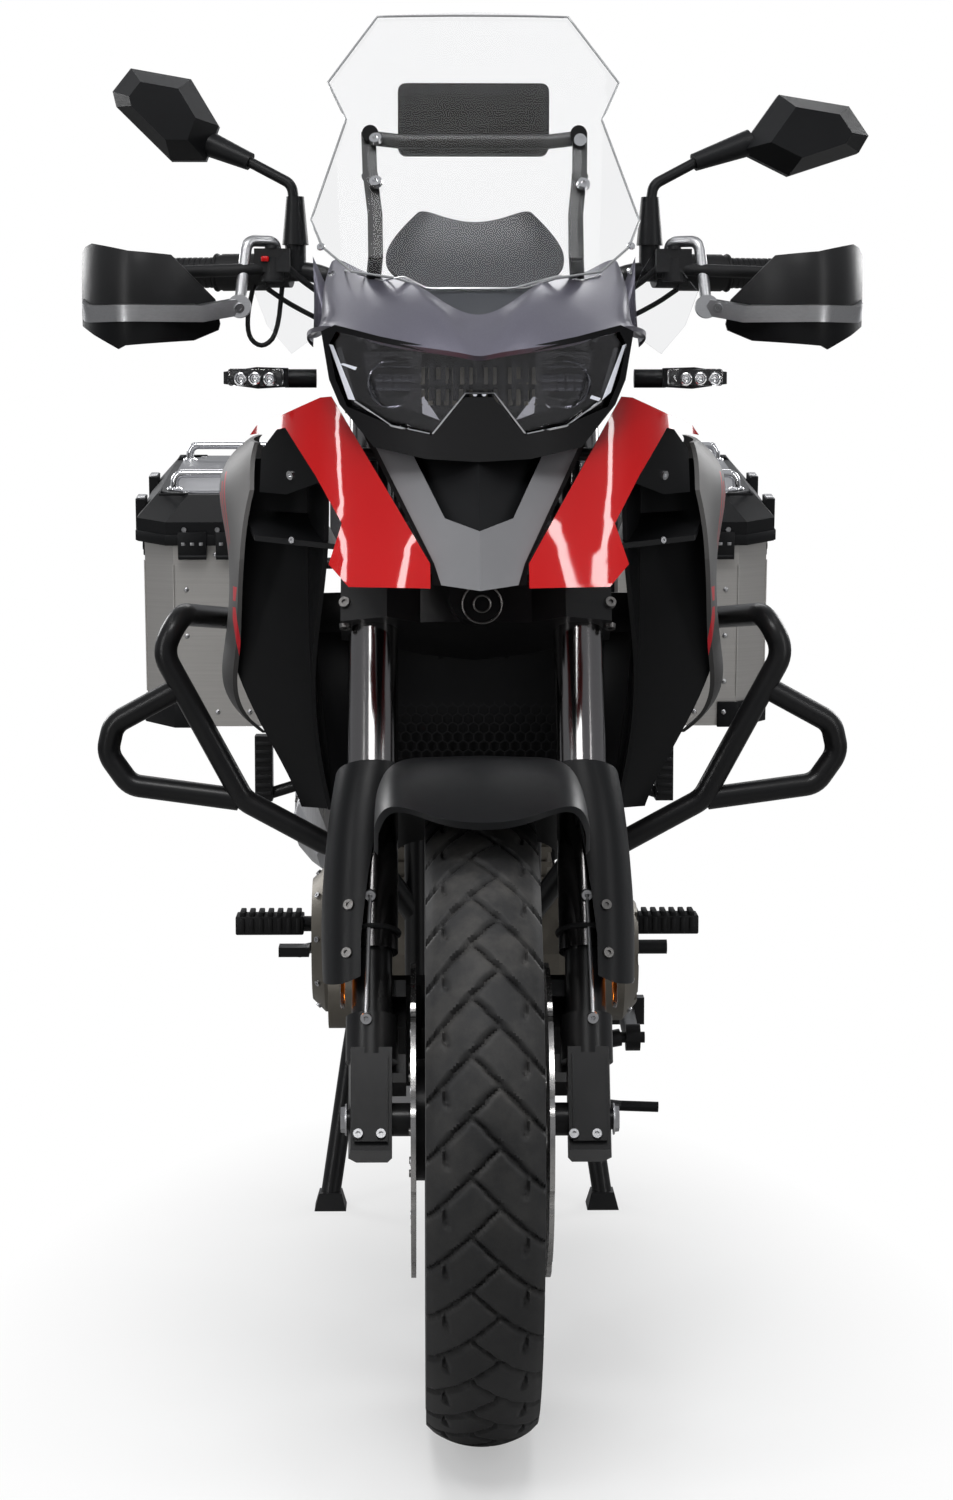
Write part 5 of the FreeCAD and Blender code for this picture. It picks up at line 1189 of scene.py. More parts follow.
class MOTORCYCLE_OT_indicators(bpy.types.Operator):
    """Makes the cups, lamps and lenses of the indicators and the ribs of the rear light"""
    bl_idname = "motorcycle.indicators"
    bl_label = "Indicators"

    def execute(self, context):
        cups, lamps, covers, rears, ribs = [bmesh.new() for _ in range(5)]
        for spot in INDICATOR_CUPS:
            place = facing(seen(("indicators",), *spot)[0], FORWARD)
            ringed(cups, place @ mark(0, 0, 1.6), 0.0056, 0.0014, 24)
            bmesh.ops.create_cone(cups, cap_ends=True, segments=24, radius1=0.0052, radius2=0.0052,
                                  depth=0.0008, matrix=place @ mark(0, 0, 0.6))
            bmesh.ops.create_uvsphere(lamps, u_segments=16, v_segments=8, radius=0.0030,
                                      matrix=place @ mark(0, 0, 1.2) @ Matrix.Diagonal((1, 1, 0.55, 1)))
        for side in SIDES:
            place = mark(side * FRONT_LENS[0], *FRONT_LENS[1:]) @ turned("Z", side * 5)
            block(covers, place, (0.060, 0.0075, 0.0185), 0.003)
            block(rears, mark(side * REAR_LENS[0], *REAR_LENS[1:]), (0.036, 0.006, 0.014), 0.0024)
        low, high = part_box("tail_light")
        for i in range(-4, 5):
            place = Matrix.Translation((0.011 * i, high.y + 0.0006, (low.z + high.z) / 2))
            block(ribs, place, (0.0022, 0.0022, 0.026), 0.0006)
        add_piece("indicator_cups", cups, "chrome", "chassis")
        add_piece("indicator_lamps", lamps, "clear_lens", "chassis")
        add_piece("indicator_lenses", covers, "clear_lens", "chassis")
        add_piece("rear_indicator_lenses", rears, "amber", "chassis")
        add_piece("tail_light_ribs", ribs, "red_lens", "chassis")
        return {"FINISHED"}


# Radiator

COMB_PITCH = 0.0118
COMB_HALF_WIDE = 0.099
COMB_MIDDLE = (0, -401.5, 695)
COMB_LEAN = 3.3
EDGING_X = 104
EDGING_ENDS = ((-408, 800), (-396, 592))
GUIDE_LOW = ((126, -410, 806), (178, -437, 806), (172, -421, 700), (161, -404, 606), (126, -398, 606))
GUIDE_HIGH = ((126, -410, 806), (178, -437, 806), (178, -430, 850), (118, -404, 850))


class MOTORCYCLE_OT_radiator(bpy.types.Operator):
    """Makes the honeycomb guard with its frame and the air guides of the radiator"""
    bl_idname = "motorcycle.radiator"
    bl_label = "Radiator"

    def execute(self, context):
        self.honeycomb()
        guides, edging = bmesh.new(), bmesh.new()
        for side in SIDES:
            for corners in (GUIDE_LOW, GUIDE_HIGH):
                sheet(guides, [at(side * x, y, z) for x, y, z in corners], at(0, 3, 0), 0.0008)
            bar_between(edging, *[at(side * EDGING_X, *end) for end in EDGING_ENDS], 0.003, 10)
        for end in EDGING_ENDS:
            bar_between(edging, at(-EDGING_X, *end), at(EDGING_X, *end), 0.003, 10)
        add_piece("radiator_air_guides", guides, "black_plastic", "chassis")
        add_piece("radiator_guard_frame", edging, "black_metal", "chassis")
        return {"FINISHED"}

    def honeycomb(self):
        bm = bmesh.new()
        lean = mark(*COMB_MIDDLE) @ turned("X", 90 - COMB_LEAN)
        for row in range(-9, 10):
            for column in range(-8, 9):
                x = (column + (0.5 if row % 2 else 0.0)) * COMB_PITCH
                y = row * COMB_PITCH * math.sqrt(3) / 2
                if abs(x) < COMB_HALF_WIDE:
                    bmesh.ops.create_circle(bm, cap_ends=True, segments=6, radius=COMB_PITCH / math.sqrt(3),
                                            matrix=lean @ Matrix.Translation((x, y, 0)))
        bmesh.ops.remove_doubles(bm, verts=bm.verts, dist=0.0004)
        cells = bm.faces[:]
        bmesh.ops.inset_individual(bm, faces=cells, thickness=0.0007, depth=0, use_even_offset=True)
        bmesh.ops.delete(bm, geom=cells, context="FACES")
        bmesh.ops.solidify(bm, geom=bm.faces[:], thickness=0.0022)
        add_piece("radiator_guard", bm, "black_metal", "chassis", smooth=20)


# Cockpit

SCREEN_LINE = ((345, 272), (382, 282), (404, 278), (427, 290), (512, 290), (559, 277), (582, 282), (607, 275))
STOP_SWITCH = (265, 259)
SCREEN_HALF = (
    (52, 1179), (84, 1190), (134, 1198), (166, 1226), (179, 1256), (142, 1371), (163, 1416), (108, 1494),
)
SCREEN_MIDDLE = Vector((0, 0, 1340))
SCREEN_INSET = 0.991
MIRROR_BACK, DISPLAY_BACK = -0.299, -0.371
# The bar under a grip, and shares of its sideways reach for the ribs and the collar
GRIP_LINE = ((178, -342, 1210), (424, -286, 1210))
FIRST_RIB, RIB_STEP, COLLAR = 119 / 246, 6.4 / 246, 113 / 246
BUTTONS = ((246, 1222), (258, 1206), (270, 1222), (252, 1196))
THICK_LINE = ((214, -366, 1219), (190, -352, 1196), (128, -318, 1158), (62, -308, 1128), (40, -322, 1098))
THIN_LINE = ((232, -346, 1190), (206, -330, 1172), (140, -306, 1140), (70, -300, 1112), (50, -316, 1088))
LOOP_LINE = (
    (-248, -338, 1198), (-256, -346, 1160), (-254, -348, 1134), (-238, -346, 1124), (-222, -340, 1140),
    (-216, -336, 1196),
)


class MOTORCYCLE_OT_cockpit(bpy.types.Operator):
    """Makes the mirror glasses, the display face, the screen edges, grips, switches and bar lines"""
    bl_idname = "motorcycle.cockpit"
    bl_label = "Cockpit"

    def execute(self, context):
        mirrors = faced("mirrors", BACKWARD, 0.0035, 0.0012, MIRROR_BACK)
        add_piece("mirror_glasses", mirrors, "mirror_glass", "steering")
        display = faced("display", BACKWARD, 0.008, 0.0010, DISPLAY_BACK)
        add_piece("display_face", display, "gloss_black", "chassis")
        self.grips()
        self.switches()
        self.lines()
        self.screen_edges()
        return {"FINISHED"}

    def screen_edges(self):
        bm = bmesh.new()
        nodes = ("windscreen", "nose_panel", "front_cowl")
        spots = [seen(nodes, px, py - 1.5)[0] for px, py in pixels_along(SCREEN_LINE, 4)]
        swept(bm, [spot + FORWARD * 0.0012 for spot in spots], 0.0010, 8, 1)
        add_piece("screen_edge_line", bm, "alloy", "chassis")
        bm = bmesh.new()
        half = [Vector((x, 0, z)) for x, z in SCREEN_HALF]
        outline = spaced(half + mirrored(reversed(half)) + half[:1], 12)
        inner = [(p - SCREEN_MIDDLE) * SCREEN_INSET + SCREEN_MIDDLE for p in outline]
        spots = [ahead(("windscreen",), *p.xz)[0] for p in inner]
        swept(bm, [spot + FORWARD * 0.0004 for spot in spots], 0.0013, 8, 0)
        add_piece("screen_rim", bm, "screen_edge", "chassis")

    def grips(self):
        bm = bmesh.new()
        for side in SIDES:
            start, end = [at(side * x, y, z) for x, y, z in GRIP_LINE]
            along = (end - start).normalized()
            for i in range(17):
                here = start.lerp(end, FIRST_RIB + i * RIB_STEP)
                bar_between(bm, here - along * 0.0018, here + along * 0.0018, 0.0174, 24)
            ringed(bm, facing(start.lerp(end, COLLAR), along), 0.0196, 0.0022, 28)
        add_piece("grip_ribs", bm, "rubber_black", "steering")

    def switches(self):
        bm = bmesh.new()
        point = seen(("bar_controls",), *STOP_SWITCH)[0]
        block(bm, Matrix.Translation(point + FORWARD * 0.0016), (0.009, 0.006, 0.006), 0.0014)
        add_piece("stop_switch", bm, "red_paint", "steering")
        bm = bmesh.new()
        for side in SIDES:
            for x, z in BUTTONS:
                place = facing(*landing(("bar_controls",), at(side * x, 0, z), FORWARD))
                block(bm, place, (0.0085, 0.006, 0.005), 0.0012)
            place = facing(*landing(("bar_controls",), at(side * 226, -372, 1400), DOWN))
            disc_cap(bm, place, 0.0085, 0.004, 24, 0.9)
        add_piece("switch_buttons", bm, "black_plastic", "steering")

    def lines(self):
        bm = bmesh.new()
        for side in SIDES:
            for line, radius in ((THICK_LINE, 0.0036), (THIN_LINE, 0.0030)):
                swept(bm, [at(side * x, y, z) for x, y, z in line], radius)
        swept(bm, [at(*spot) for spot in LOOP_LINE], 0.0028)
        add_piece("bar_lines", bm, "rubber_black", "steering")


# Fork

HORN = (482, 604)
FENDER_STAY = ((113, 550), (115, 499), (116.5, 431))
REFLECTOR_X, REFLECTOR_Z = 141.5, 455
FORK_X = 111
SEALS = ((508, 0.0277), (846, 0.0267))
FRONT_VALVE_TURN, REAR_VALVE_TURN = 2.6, 2.2


def on_wheel(axle, turn, reach):
    """A point in the middle plane of a wheel, turned away from straight up."""
    return axle + Vector((0, math.sin(turn), math.cos(turn))) * reach


class MOTORCYCLE_OT_fork(bpy.types.Operator):
    """Makes the reflectors, fender stays, seals and horn rings of the fork, and both valves"""
    bl_idname = "motorcycle.fork"
    bl_label = "Fork details"

    def execute(self, context):
        self.fork_pieces()
        bm = bmesh.new()
        for ends, radius in (((0.238, 0.200), 0.0032), ((0.208, 0.197), 0.0046)):
            bar_between(bm, *[on_wheel(FRONT_AXLE, FRONT_VALVE_TURN, reach) for reach in ends], radius, 12)
        add_piece("front_valve", bm, "rubber_black", "front_wheel")
        bm = bmesh.new()
        bar_between(bm, *[on_wheel(REAR_AXLE, REAR_VALVE_TURN, reach) for reach in (0.213, 0.176)],
                    0.0036, 12)
        add_piece("rear_valve", bm, "rubber_black", "rear_wheel")
        bm = bmesh.new()
        place = facing(*seen(("yokes",), *HORN)) @ mark(0, 0, 1.2)
        for radius in (0.009, 0.021):
            ringed(bm, place, radius, 0.0012, 32)
        add_piece("horn_rings", bm, "dark_steel", "steering")
        return {"FINISHED"}

    def fork_pieces(self):
        reflectors, stays, seals = [bmesh.new() for _ in range(3)]
        rake = Matrix.Rotation(-RAKE, 4, "X")
        for side in SIDES:
            place = mark(side * REFLECTOR_X, fork_y(REFLECTOR_Z) + 2, REFLECTOR_Z) @ rake
            block(reflectors, place, (0.0045, 0.024, 0.040), 0.0012)
            spots = [ahead(("front_fender", "fork_legs", "fork_tubes"), side * x, z)[0]
                     for x, z in FENDER_STAY]
            swept(stays, [spot + FORWARD * 0.003 for spot in spots], 0.0022, 10, 1)
            for spot in (spots[0], spots[-1]):
                disc_cap(stays, facing(spot, FORWARD), 0.0062, 0.006, 18, 0.9)
            for z, radius in SEALS:
                ringed(seals, mark(side * FORK_X, fork_y(z), z) @ rake, radius, 0.0030, 36)
        add_piece("fork_reflectors", reflectors, "amber", "steering")
        add_piece("fender_stays", stays, "alloy", "steering")
        add_piece("fork_seals", seals, "rubber_black", "steering")


# Panniers, measured in millimetres from the lower middle of each case, outwards and backwards

CASE_LEFT, CASE_RIGHT, CASE_Y, CASE_Z, CASE_LEAN = 312, -334, 566, 652, 7
HALF_WIDE, HALF_LONG, CUT, HIGH, LIP = 103, 215, 42, 252, 9
CORNER_RUN, CORNER_THICK, FOOT_LOW, FOOT_HIGH = 26, 4.5, -1.5, 34
RIVET = 0.0036
RIVET_COLUMNS, RIVET_LEVELS = (-84, -40, 4, 44), (20, 62, 126, 190, 238)
SIDE_RIVETS, SIDE_RIVET_LEVELS = (-150, -90, -30, 30, 90, 150), (16, 236)
RAIL_Y, RAIL_FEET = 150, (-60, 62)
PLATE_COLUMNS = (34, -17)
LATCH_Y = 110
LID_SCREW_Y, LID_SCREW_COLUMNS, EDGE_SCREW_COLUMNS = 180, (-80, -20, 44), (-90, -45, 0, 45)


def case_place(side):
    """The lower middle of a pannier, leaning with it."""
    return mark(CASE_LEFT if side > 0 else CASE_RIGHT, CASE_Y, CASE_Z) @ turned("X", CASE_LEAN)


def on_case(side, x, y, z):
    """A point of a pannier."""
    return case_place(side) @ at(side * x, y, z)


def case_mark(side, x, y, z):
    """A place on a pannier, leaning with it."""
    return case_place(side) @ mark(side * x, y, z)


def band(bm, side, path, thick, low, high, bevel=0.0008):
    """An upright band on an outline, thickened outwards."""
    path = [Vector(p) for p in path]
    outer = []
    for i, p in enumerate(path):
        along = (path[min(i + 1, len(path) - 1)] - path[max(i - 1, 0)]).normalized()
        out = Vector((along.y, -along.x))
        outer.append(p + (-out if out.dot(p) < 0 else out) * thick)
    shift = case_place(side).to_3x3() @ at(0, 0, high - low)
    sheet(bm, [on_case(side, *p, low) for p in path + outer[::-1]], shift, bevel)


def rivet(bm, place, flat):
    """A low round head, flattened along one axis."""
    bmesh.ops.create_uvsphere(bm, u_segments=12, v_segments=6, radius=RIVET,
                              matrix=Matrix.Translation(place) @ Matrix.Diagonal((*flat, 1)))


class MOTORCYCLE_OT_cases(bpy.types.Operator):
    """Makes the corners, rivets, seams and catches of both panniers and the fittings of their lids"""
    bl_idname = "motorcycle.cases"
    bl_label = "Panniers"

    def execute(self, context):
        for side, label in ((1, "left"), (-1, "right")):
            self.corners(side, label)
            self.rivets(side, label)
            self.seams(side, label)
            self.lid_top(side, label)
            self.rails(side, label)
            self.plates(side, label)
            self.latches(side, label)
            self.screws(side, label)
        return {"FINISHED"}

    def corners(self, side, label):
        bm = bmesh.new()
        for end in SIDES:
            y = end * HALF_LONG
            outer = [(HALF_WIDE - CUT - CORNER_RUN, y), (HALF_WIDE - CUT, y),
                     (HALF_WIDE, end * (HALF_LONG - CUT)), (HALF_WIDE, end * (HALF_LONG - CUT - CORNER_RUN))]
            for path in (outer, [(-HALF_WIDE, y), (34 - HALF_WIDE, y)]):
                band(bm, side, path, CORNER_THICK, FOOT_LOW, FOOT_HIGH, 0.0014)
        add_piece("case_corners_" + label, bm, "black_plastic", "chassis")

    def rivets(self, side, label):
        bm = bmesh.new()
        for end in SIDES:
            for x in RIVET_COLUMNS:
                for z in RIVET_LEVELS:
                    outer = x in (RIVET_COLUMNS[0], RIVET_COLUMNS[-1])
                    if outer or z in (RIVET_LEVELS[0], RIVET_LEVELS[-1]):
                        proud = CORNER_THICK if outer and z == RIVET_LEVELS[0] else 0
                        rivet(bm, on_case(side, x, end * (HALF_LONG + proud), z), (1, 0.5, 1))
        for y in SIDE_RIVETS:
            for z in SIDE_RIVET_LEVELS:
                rivet(bm, on_case(side, HALF_WIDE + 0.2, y, z), (0.5, 1, 1))
        add_piece("case_rivets_" + label, bm, "steel", "chassis")

    def seams(self, side, label):
        bm = bmesh.new()
        for end in SIDES:
            for x, y in ((HALF_WIDE - CUT, HALF_LONG), (HALF_WIDE, HALF_LONG - CUT)):
                ends = [on_case(side, x, end * y, z) for z in (42, HIGH - 28)]
                bar_between(bm, *ends, 0.0014, 8)
        reach = HALF_LONG - CUT - 12
        for z in (84, 168):
            ends = [on_case(side, HALF_WIDE, y, z) for y in (-reach, reach)]
            bar_between(bm, *ends, 0.0022, 8)
        add_piece("case_seams_" + label, bm, "case_alloy", "chassis")

    def lid_top(self, side, label):
        bm = bmesh.new()
        wide, long = HALF_WIDE + LIP, HALF_LONG + LIP
        edge = [(-wide, -long), (wide - CUT, -long), (wide, CUT - long), (wide, long - CUT),
                (wide - CUT, long), (-wide, long)]
        band(bm, side, edge, 2.4, HIGH + 1, HIGH + 15)
        for end in SIDES:
            band(bm, side, [(40, end * 196), (79, end * 196), (79, end * 150)], 2, HIGH + 64, HIGH + 68)
        add_piece("lid_bands_" + label, bm, "black_plastic", "lid_" + label)
        bm = bmesh.new()
        inset = [((x - (30 if x > 0 else 0)) * 0.90 - 2, y * 0.9 * 0.94) for x, y in edge]
        sheet(bm, [on_case(side, x, y, HIGH + 65.8) for x, y in inset],
              case_place(side).to_3x3() @ at(0, 0, 1.4), 0.0005)
        add_piece("lid_top_" + label, bm, "lid_slate", "lid_" + label)

    def rails(self, side, label):
        bm = bmesh.new()
        back, out = RAIL_FEET
        for y in (-RAIL_Y, RAIL_Y):
            corners = ((back, 60), (back, 88), (out, 88), (out, 60))
            swept(bm, filleted([on_case(side, x, y, HIGH + z) for x, z in corners], 0.012), 0.0057, 14, 0)
            for x in RAIL_FEET:
                ringed(bm, case_mark(side, x, y, HIGH + 67.2), 0.0088, 0.0022, 24)
        add_piece("lid_rails_" + label, bm, "chrome", "lid_" + label)

    def plates(self, side, label):
        plates, pins = bmesh.new(), bmesh.new()
        front = -(HALF_LONG + LIP)
        for x in PLATE_COLUMNS:
            block(plates, case_mark(side, x, front - 3.4, HIGH + 1), (0.039, 0.004, 0.036), 0.001)
            bar_between(plates, on_case(side, x - 19, front - 4, HIGH - 15),
                        on_case(side, x + 19, front - 4, HIGH - 15), 0.0036, 12)
            for shift in (-12, 0, 12):
                block(pins, case_mark(side, x + shift, front - 5.5, HIGH + 3), (0.0056, 0.0012, 0.0042),
                      0.0006)
        add_piece("lid_plates_" + label, plates, "black_plastic", "lid_" + label)
        add_piece("lid_plate_pins_" + label, pins, "steel", "lid_" + label)

    def latches(self, side, label):
        hooks, catches = bmesh.new(), bmesh.new()
        for y in (-LATCH_Y, LATCH_Y):
            loop = [on_case(side, HALF_WIDE + 11.5, y + turn, HIGH + z)
                    for turn, z in ((-15, 10), (-15, -7), (15, -7), (15, 10))]
            swept(hooks, filleted(loop, 0.005), 0.0022, 10, 0)
            block(hooks, case_mark(side, HALF_WIDE + 8.5, y, HIGH + 50.6), (0.011, 0.030, 0.0024), 0.0008)
            block(catches, case_mark(side, HALF_WIDE + 3, y, HIGH - 18), (0.006, 0.034, 0.022), 0.0012)
            disc_cap(catches, case_mark(side, HALF_WIDE + 6, y, HIGH - 18) @ turned("Y", side * 90),
                     0.006, 0.002, 18, 0.92)
        add_piece("lid_latches_" + label, hooks, "alloy", "lid_" + label)
        add_piece("case_catches_" + label, catches, "black_plastic", "chassis")

    def screws(self, side, label):
        bm = bmesh.new()
        turn = case_place(side).to_3x3()
        for y in (-LID_SCREW_Y, LID_SCREW_Y):
            for x in LID_SCREW_COLUMNS:
                spot = landing(("lid_" + label,), on_case(side, x, y, HIGH + 160), turn @ DOWN)
                disc_cap(bm, facing(*spot), 0.0042, 0.0020, 16, 0.9)
        for end in SIDES:
            for x in EDGE_SCREW_COLUMNS:
                spot = on_case(side, x, end * (HALF_LONG + LIP + 1.4), HIGH + 22)
                disc_cap(bm, facing(spot, turn @ Vector((0, end, 0))), 0.0036, 0.0016, 14, 0.9)
        add_piece("lid_screws_" + label, bm, "steel", "lid_" + label)


# Running gear

PLATE_LEAN = math.atan2(54, 134)
# The silencer's middle line starts here and runs out by one in 36 and up by one in 4
SILENCER_START, SILENCER_OUT, SILENCER_UP = (-190, 500, 470), 36, 4
SILENCER_BANDS, SILENCER_SCREWS = (512, 846), ((560, 500), (700, 532), (820, 560))
BAND_STEPS = 28
PEG_RIBS = 7
STITCH_COUNT, STITCH_START, STITCH_STEP = 52, 128, 10.6
SEAT_STEP = (314, 362)


class MOTORCYCLE_OT_running_gear(bpy.types.Operator):
    """Makes the peg rubbers, the plate, the exhaust bands and the seat stitches"""
    bl_idname = "motorcycle.running_gear"
    bl_label = "Running gear"

    def execute(self, context):
        self.peg_rubbers()
        bm = bmesh.new()
        block(bm, mark(0, 1084.5, 666) @ Matrix.Rotation(PLATE_LEAN, 4, "X"), (0.176, 0.0016, 0.118), 0.0006)
        add_piece("blank_plate", bm, "plate_white", "chassis")
        bm = bmesh.new()
        for side in SIDES:
            place = mark(side * 70, 1066, 706) @ Matrix.Rotation(PLATE_LEAN - math.pi / 2, 4, "X")
            disc_cap(bm, place, 0.0046, 0.0024, 16, 0.9)
        add_piece("plate_screws", bm, "steel", "chassis")
        self.exhaust_bands()
        self.exhaust_screws()
        self.stitches()
        return {"FINISHED"}

    def peg_rubbers(self):
        bm = bmesh.new()
        for side in SIDES:
            block(bm, mark(side * 256, 99, 392.5), (0.088, 0.0415, 0.0245), 0.002)
            for i in range(PEG_RIBS):
                x = side * (219 + i * 12)
                block(bm, mark(x, 99, 407), (0.0072, 0.0405, 0.006), 0.0012)
                block(bm, mark(x, 78, 393), (0.006, 0.003, 0.019), 0.001)
                block(bm, mark(side * 276, 351.2, 533 + i * 11.5), (0.021, 0.003, 0.0056), 0.001)
        add_piece("peg_rubbers", bm, "rubber_black", "chassis")

    def exhaust_bands(self):
        bm = bmesh.new()
        for y in SILENCER_BANDS:
            behind = y - SILENCER_START[1]
            x, z = SILENCER_START[0] - behind / SILENCER_OUT, SILENCER_START[2] + behind / SILENCER_UP
            centre = at(x, y, z)
            points = []
            for i in range(BAND_STEPS + 1):
                turn = math.tau * i / BAND_STEPS
                reach = at(300 * math.cos(turn), 0, 300 * math.sin(turn))
                point, normal = landing(("exhaust",), centre + reach, -reach)
                points.append(point + normal * 0.0002)
            swept(bm, points, 0.0030, 8, 0)
        add_piece("exhaust_bands", bm, "steel", "chassis")

    def exhaust_screws(self):
        bm = bmesh.new()
        for spot in SILENCER_SCREWS:
            disc_cap(bm, facing(*beside(("exhaust",), -1, *spot)), 0.0050, 0.0026, 16, 0.9)
        add_piece("exhaust_screws", bm, "dark_steel", "chassis")

    def stitches(self):
        """Follows both seams of the seat, whose width changes behind the step."""
        bm = bmesh.new()
        for side in SIDES:
            for i in range(STITCH_COUNT):
                y = STITCH_START + i * STITCH_STEP
                if SEAT_STEP[0] < y < SEAT_STEP[1]:
                    continue
                width = 92 + (y - 110) * 0.20 if y < 318 else 118 - (y - 350) * 0.115
                try:
                    point, normal = landing(("seat",), at(side * width * 0.74, y, 1200), DOWN)
                except RuntimeError:
                    continue
                block(bm, facing(point + normal * 0.0004, normal), (0.0012, 0.0052, 0.0010), 0.0003)
        add_piece("seat_stitches", bm, "case_alloy", "chassis")


# Stage

# Lamp, place, aim, width, height and the setting of its power
LAMPS = (
    ("softbox_top", (0.0, -1.0, 3.2), (0, -0.3, 0.6), 1.8, 1.8, "top_power"),
    ("softbox_front", (-0.5, -3.6, 4.2), (0, -0.6, 0.8), 1.8, 1.0, "front_power"),
    ("ceiling_tube_left", (-1.65, -0.9, 3.5), (-0.15, -0.6, 0.95), 1.6, 0.06, "tube_power"),
    ("ceiling_tube_right", (1.65, -0.9, 3.5), (0.15, -0.6, 0.95), 1.6, 0.06, "tube_power"),
    ("strip_left", (-2.4, -2.6, 1.6), (0, -0.5, 0.8), 0.22, 2.4, "left_power"),
    ("strip_right", (2.6, -2.4, 1.6), (0, -0.5, 0.8), 0.22, 2.4, "right_power"),
    ("softbox_back", (0.0, 2.3, 2.7), (0, -0.6, 1.1), 2.2, 0.5, "back_power"),
    ("strip_rear_left", (-2.4, 2.4, 1.9), (0, 0.2, 0.7), 1.2, 1.2, "rear_power"),
    ("strip_rear_right", (2.4, 2.4, 1.9), (0, 0.2, 0.7), 1.2, 1.2, "rear_power"),
)
WHITE = (1, 1, 1, 1)
ROOM_TINT = (0.94, 0.96, 1.0, 1)


def shader_mix(tree, share, first, second):
    """The shader between two others."""
    return node(tree, "ShaderNodeMixShader", None, n0=share, n1=first.outputs[0],
                n2=second.outputs[0]).outputs[0]


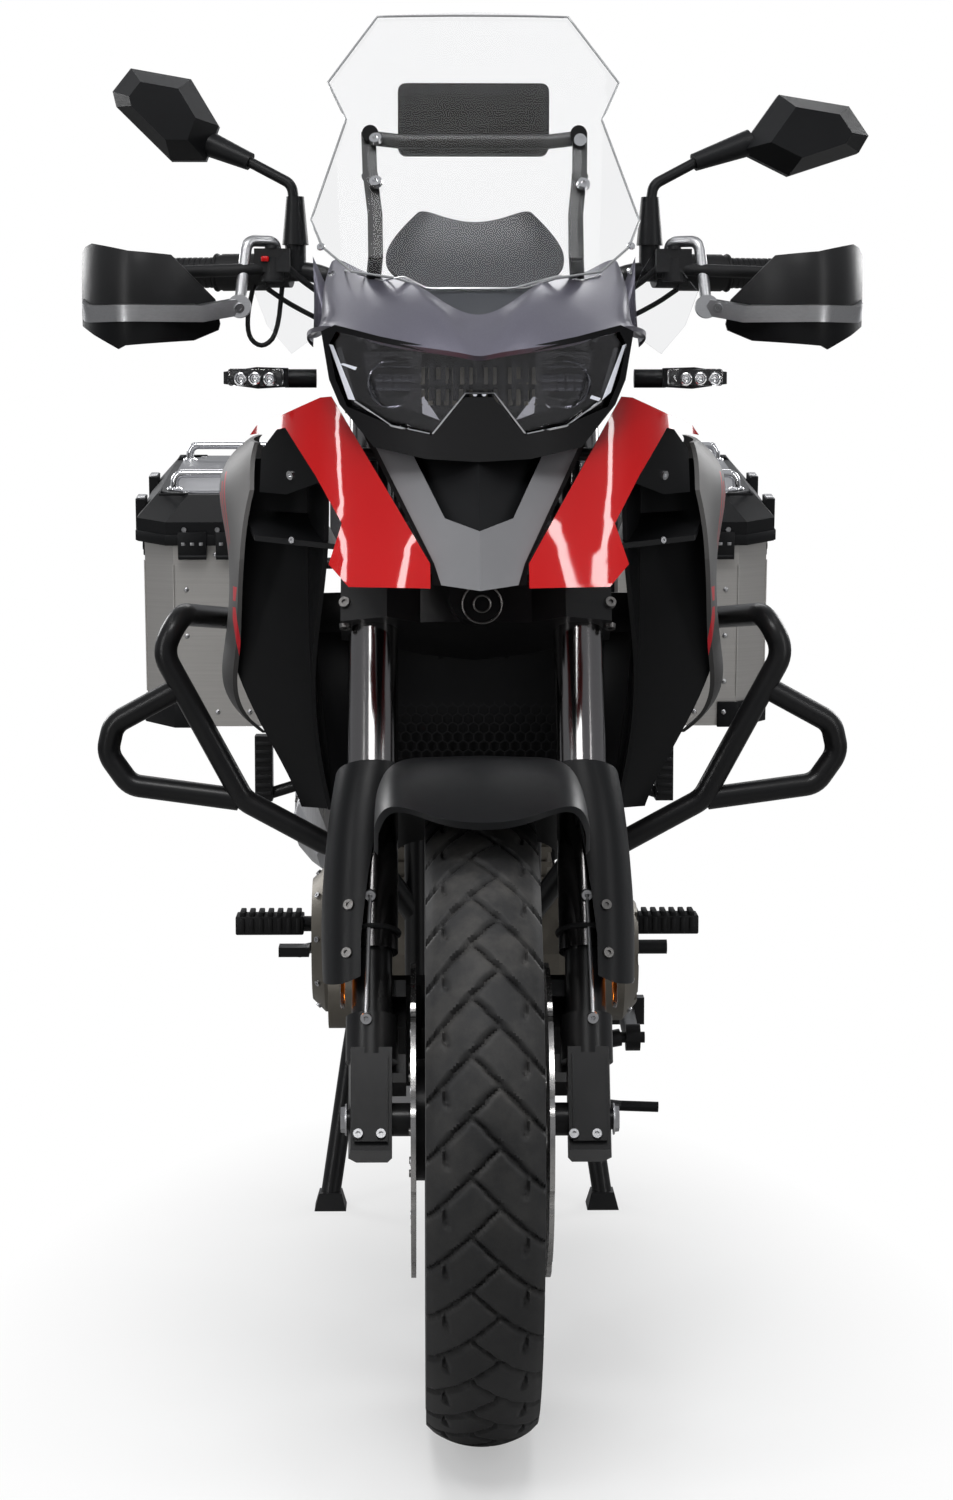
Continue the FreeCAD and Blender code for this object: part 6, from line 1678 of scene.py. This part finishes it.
class MOTORCYCLE_OT_stage(bpy.types.Operator):
    """Makes the floor, the soft lights, the white room and the camera"""
    bl_idname = "motorcycle.stage"
    bl_label = "Stage"

    def execute(self, context):
        scene = context.scene
        studio = scene.motorcycle_studio
        scene.view_settings.view_transform = "Standard"
        self.lay_floor(studio)
        self.light_room(scene, studio)
        for name, place, aim, wide, high, setting in LAMPS:
            lamp = bpy.data.lights.new(name, "AREA")
            lamp.shape = "RECTANGLE"
            lamp.size = wide
            lamp.size_y = high
            lamp.energy = getattr(studio, setting)
            stand = linked(name, lamp)
            stand.location = place
            stand.rotation_euler = (Vector(aim) - Vector(place)).to_track_quat("-Z", "Y").to_euler()
            stand.visible_glossy = name != "softbox_top"
        settings = scene.motorcycle_camera
        camera = bpy.data.cameras.new("photo_camera")
        camera.lens = settings.lens
        camera.sensor_width = SENSOR
        camera.clip_start = 0.05
        scene.camera = linked("photo_camera", camera)
        scene.camera.location = settings.place
        scene.camera.rotation_euler = (settings.tilt, 0, settings.turn)
        return {"FINISHED"}

    def lay_floor(self, studio):
        """A pale floor with a soft grey patch under the object, white further out."""
        bm = bmesh.new()
        bmesh.ops.create_grid(bm, x_segments=1, y_segments=1, size=14)
        floor = linked("studio_floor", mesh_of("studio_floor", bm))
        material, tree, surface, coord = blank("studio_floor", Roughness=0.7, Specular_IOR_Level=0.2)
        tone = studio.floor_shade
        pale = mixed(tree, noise(tree, coord, 0.8, 3.0), rgba(tone, 0.985), rgba(tone, 1.015))
        ray = node(tree, "ShaderNodeLightPath").outputs
        shown = mixed(tree, ray["Is Camera Ray"], rgba(tone, 0.45), pale)
        tree.links.new(shown, surface.inputs["Base Color"])
        white = node(tree, "ShaderNodeEmission", None, Color=WHITE, Strength=1.0)
        x, y, _ = node(tree, "ShaderNodeSeparateXYZ", None, Vector=coord).outputs
        oval = node(tree, "ShaderNodeCombineXYZ", None, X=maths(tree, "MULTIPLY", x, 1.55),
                    Y=maths(tree, "MULTIPLY_ADD", y, 0.62, 0.45)).outputs[0]
        reach = node(tree, "ShaderNodeVectorMath", {"operation": "LENGTH"}, n0=oval).outputs["Value"]
        fade = ranged(tree, reach, 0.30, 0.95, 0.42, 1.0)
        straight = maths(tree, "MAXIMUM", ray["Is Camera Ray"], ray["Is Transmission Ray"])
        both = shader_mix(tree, maths(tree, "MULTIPLY", fade, straight), surface, white)
        tree.links.new(both, tree.nodes["Material Output"].inputs["Surface"])
        floor.data.materials.append(material)

    def light_room(self, scene, studio):
        """White to the camera and straight through glass, dim for the rest of the light."""
        scene.world = bpy.data.worlds.new("studio_room")
        scene.world.use_nodes = True
        tree = scene.world.node_tree
        tree.nodes.clear()
        ray = node(tree, "ShaderNodeLightPath").outputs
        bounces = maths(tree, "ADD", ray["Diffuse Depth"], ray["Glossy Depth"])
        direct = maths(tree, "LESS_THAN", bounces, 0.5)
        through = maths(tree, "MULTIPLY", ray["Is Transmission Ray"], direct)
        shiny = maths(tree, "MAXIMUM", ray["Is Glossy Ray"], ray["Is Transmission Ray"])
        strength = ranged(tree, shiny, 0.0, 1.0, studio.room_light, studio.room_shine)
        lit = node(tree, "ShaderNodeBackground", None, Color=ROOM_TINT, Strength=strength)
        white = node(tree, "ShaderNodeBackground", None, Color=WHITE, Strength=1.0)
        both = shader_mix(tree, maths(tree, "MAXIMUM", ray["Is Camera Ray"], through), lit, white)
        tree.links.new(both, node(tree, "ShaderNodeOutputWorld").inputs["Surface"])


# Panel and registration

class MOTORCYCLE_PT_panel(bpy.types.Panel):
    bl_label = "Motorcycle"
    bl_idname = "MOTORCYCLE_PT_panel"
    bl_space_type = "VIEW_3D"
    bl_region_type = "UI"
    bl_category = "Motorcycle"

    def draw(self, context):
        for operator in OPERATORS:
            self.layout.operator(operator.bl_idname)
        for group, _ in SETTINGS:
            settings = getattr(context.scene, "motorcycle_" + group)
            box = self.layout.box()
            for name in settings.bl_rna.properties.keys():
                if name not in ("rna_type", "name"):
                    box.prop(settings, name)


OPERATORS = (
    MOTORCYCLE_OT_finishes,
    MOTORCYCLE_OT_tyres,
    MOTORCYCLE_OT_seat,
    MOTORCYCLE_OT_fasteners,
    MOTORCYCLE_OT_headlight,
    MOTORCYCLE_OT_indicators,
    MOTORCYCLE_OT_radiator,
    MOTORCYCLE_OT_cockpit,
    MOTORCYCLE_OT_fork,
    MOTORCYCLE_OT_cases,
    MOTORCYCLE_OT_running_gear,
    MOTORCYCLE_OT_stage,
)
SETTINGS = (
    ("paint", PaintSettings), ("tyre", TyreSettings), ("camera", CameraSettings), ("studio", StudioSettings),
)
CLASSES = (*(group for _, group in SETTINGS), *OPERATORS, MOTORCYCLE_PT_panel)


def register():
    for item in CLASSES:
        bpy.utils.register_class(item)
    for name, group in SETTINGS:
        setattr(bpy.types.Scene, "motorcycle_" + name, PointerProperty(type=group))


def unregister():
    for name, _ in SETTINGS:
        delattr(bpy.types.Scene, "motorcycle_" + name)
    for item in reversed(CLASSES):
        bpy.utils.unregister_class(item)


def main():
    register()
    for operator in OPERATORS:
        call = getattr(bpy.ops.motorcycle, operator.bl_idname.split(".")[1])
        if call() != {"FINISHED"}:
            raise RuntimeError(operator.bl_label + " did not finish")


if __name__ == "__main__":
    main()
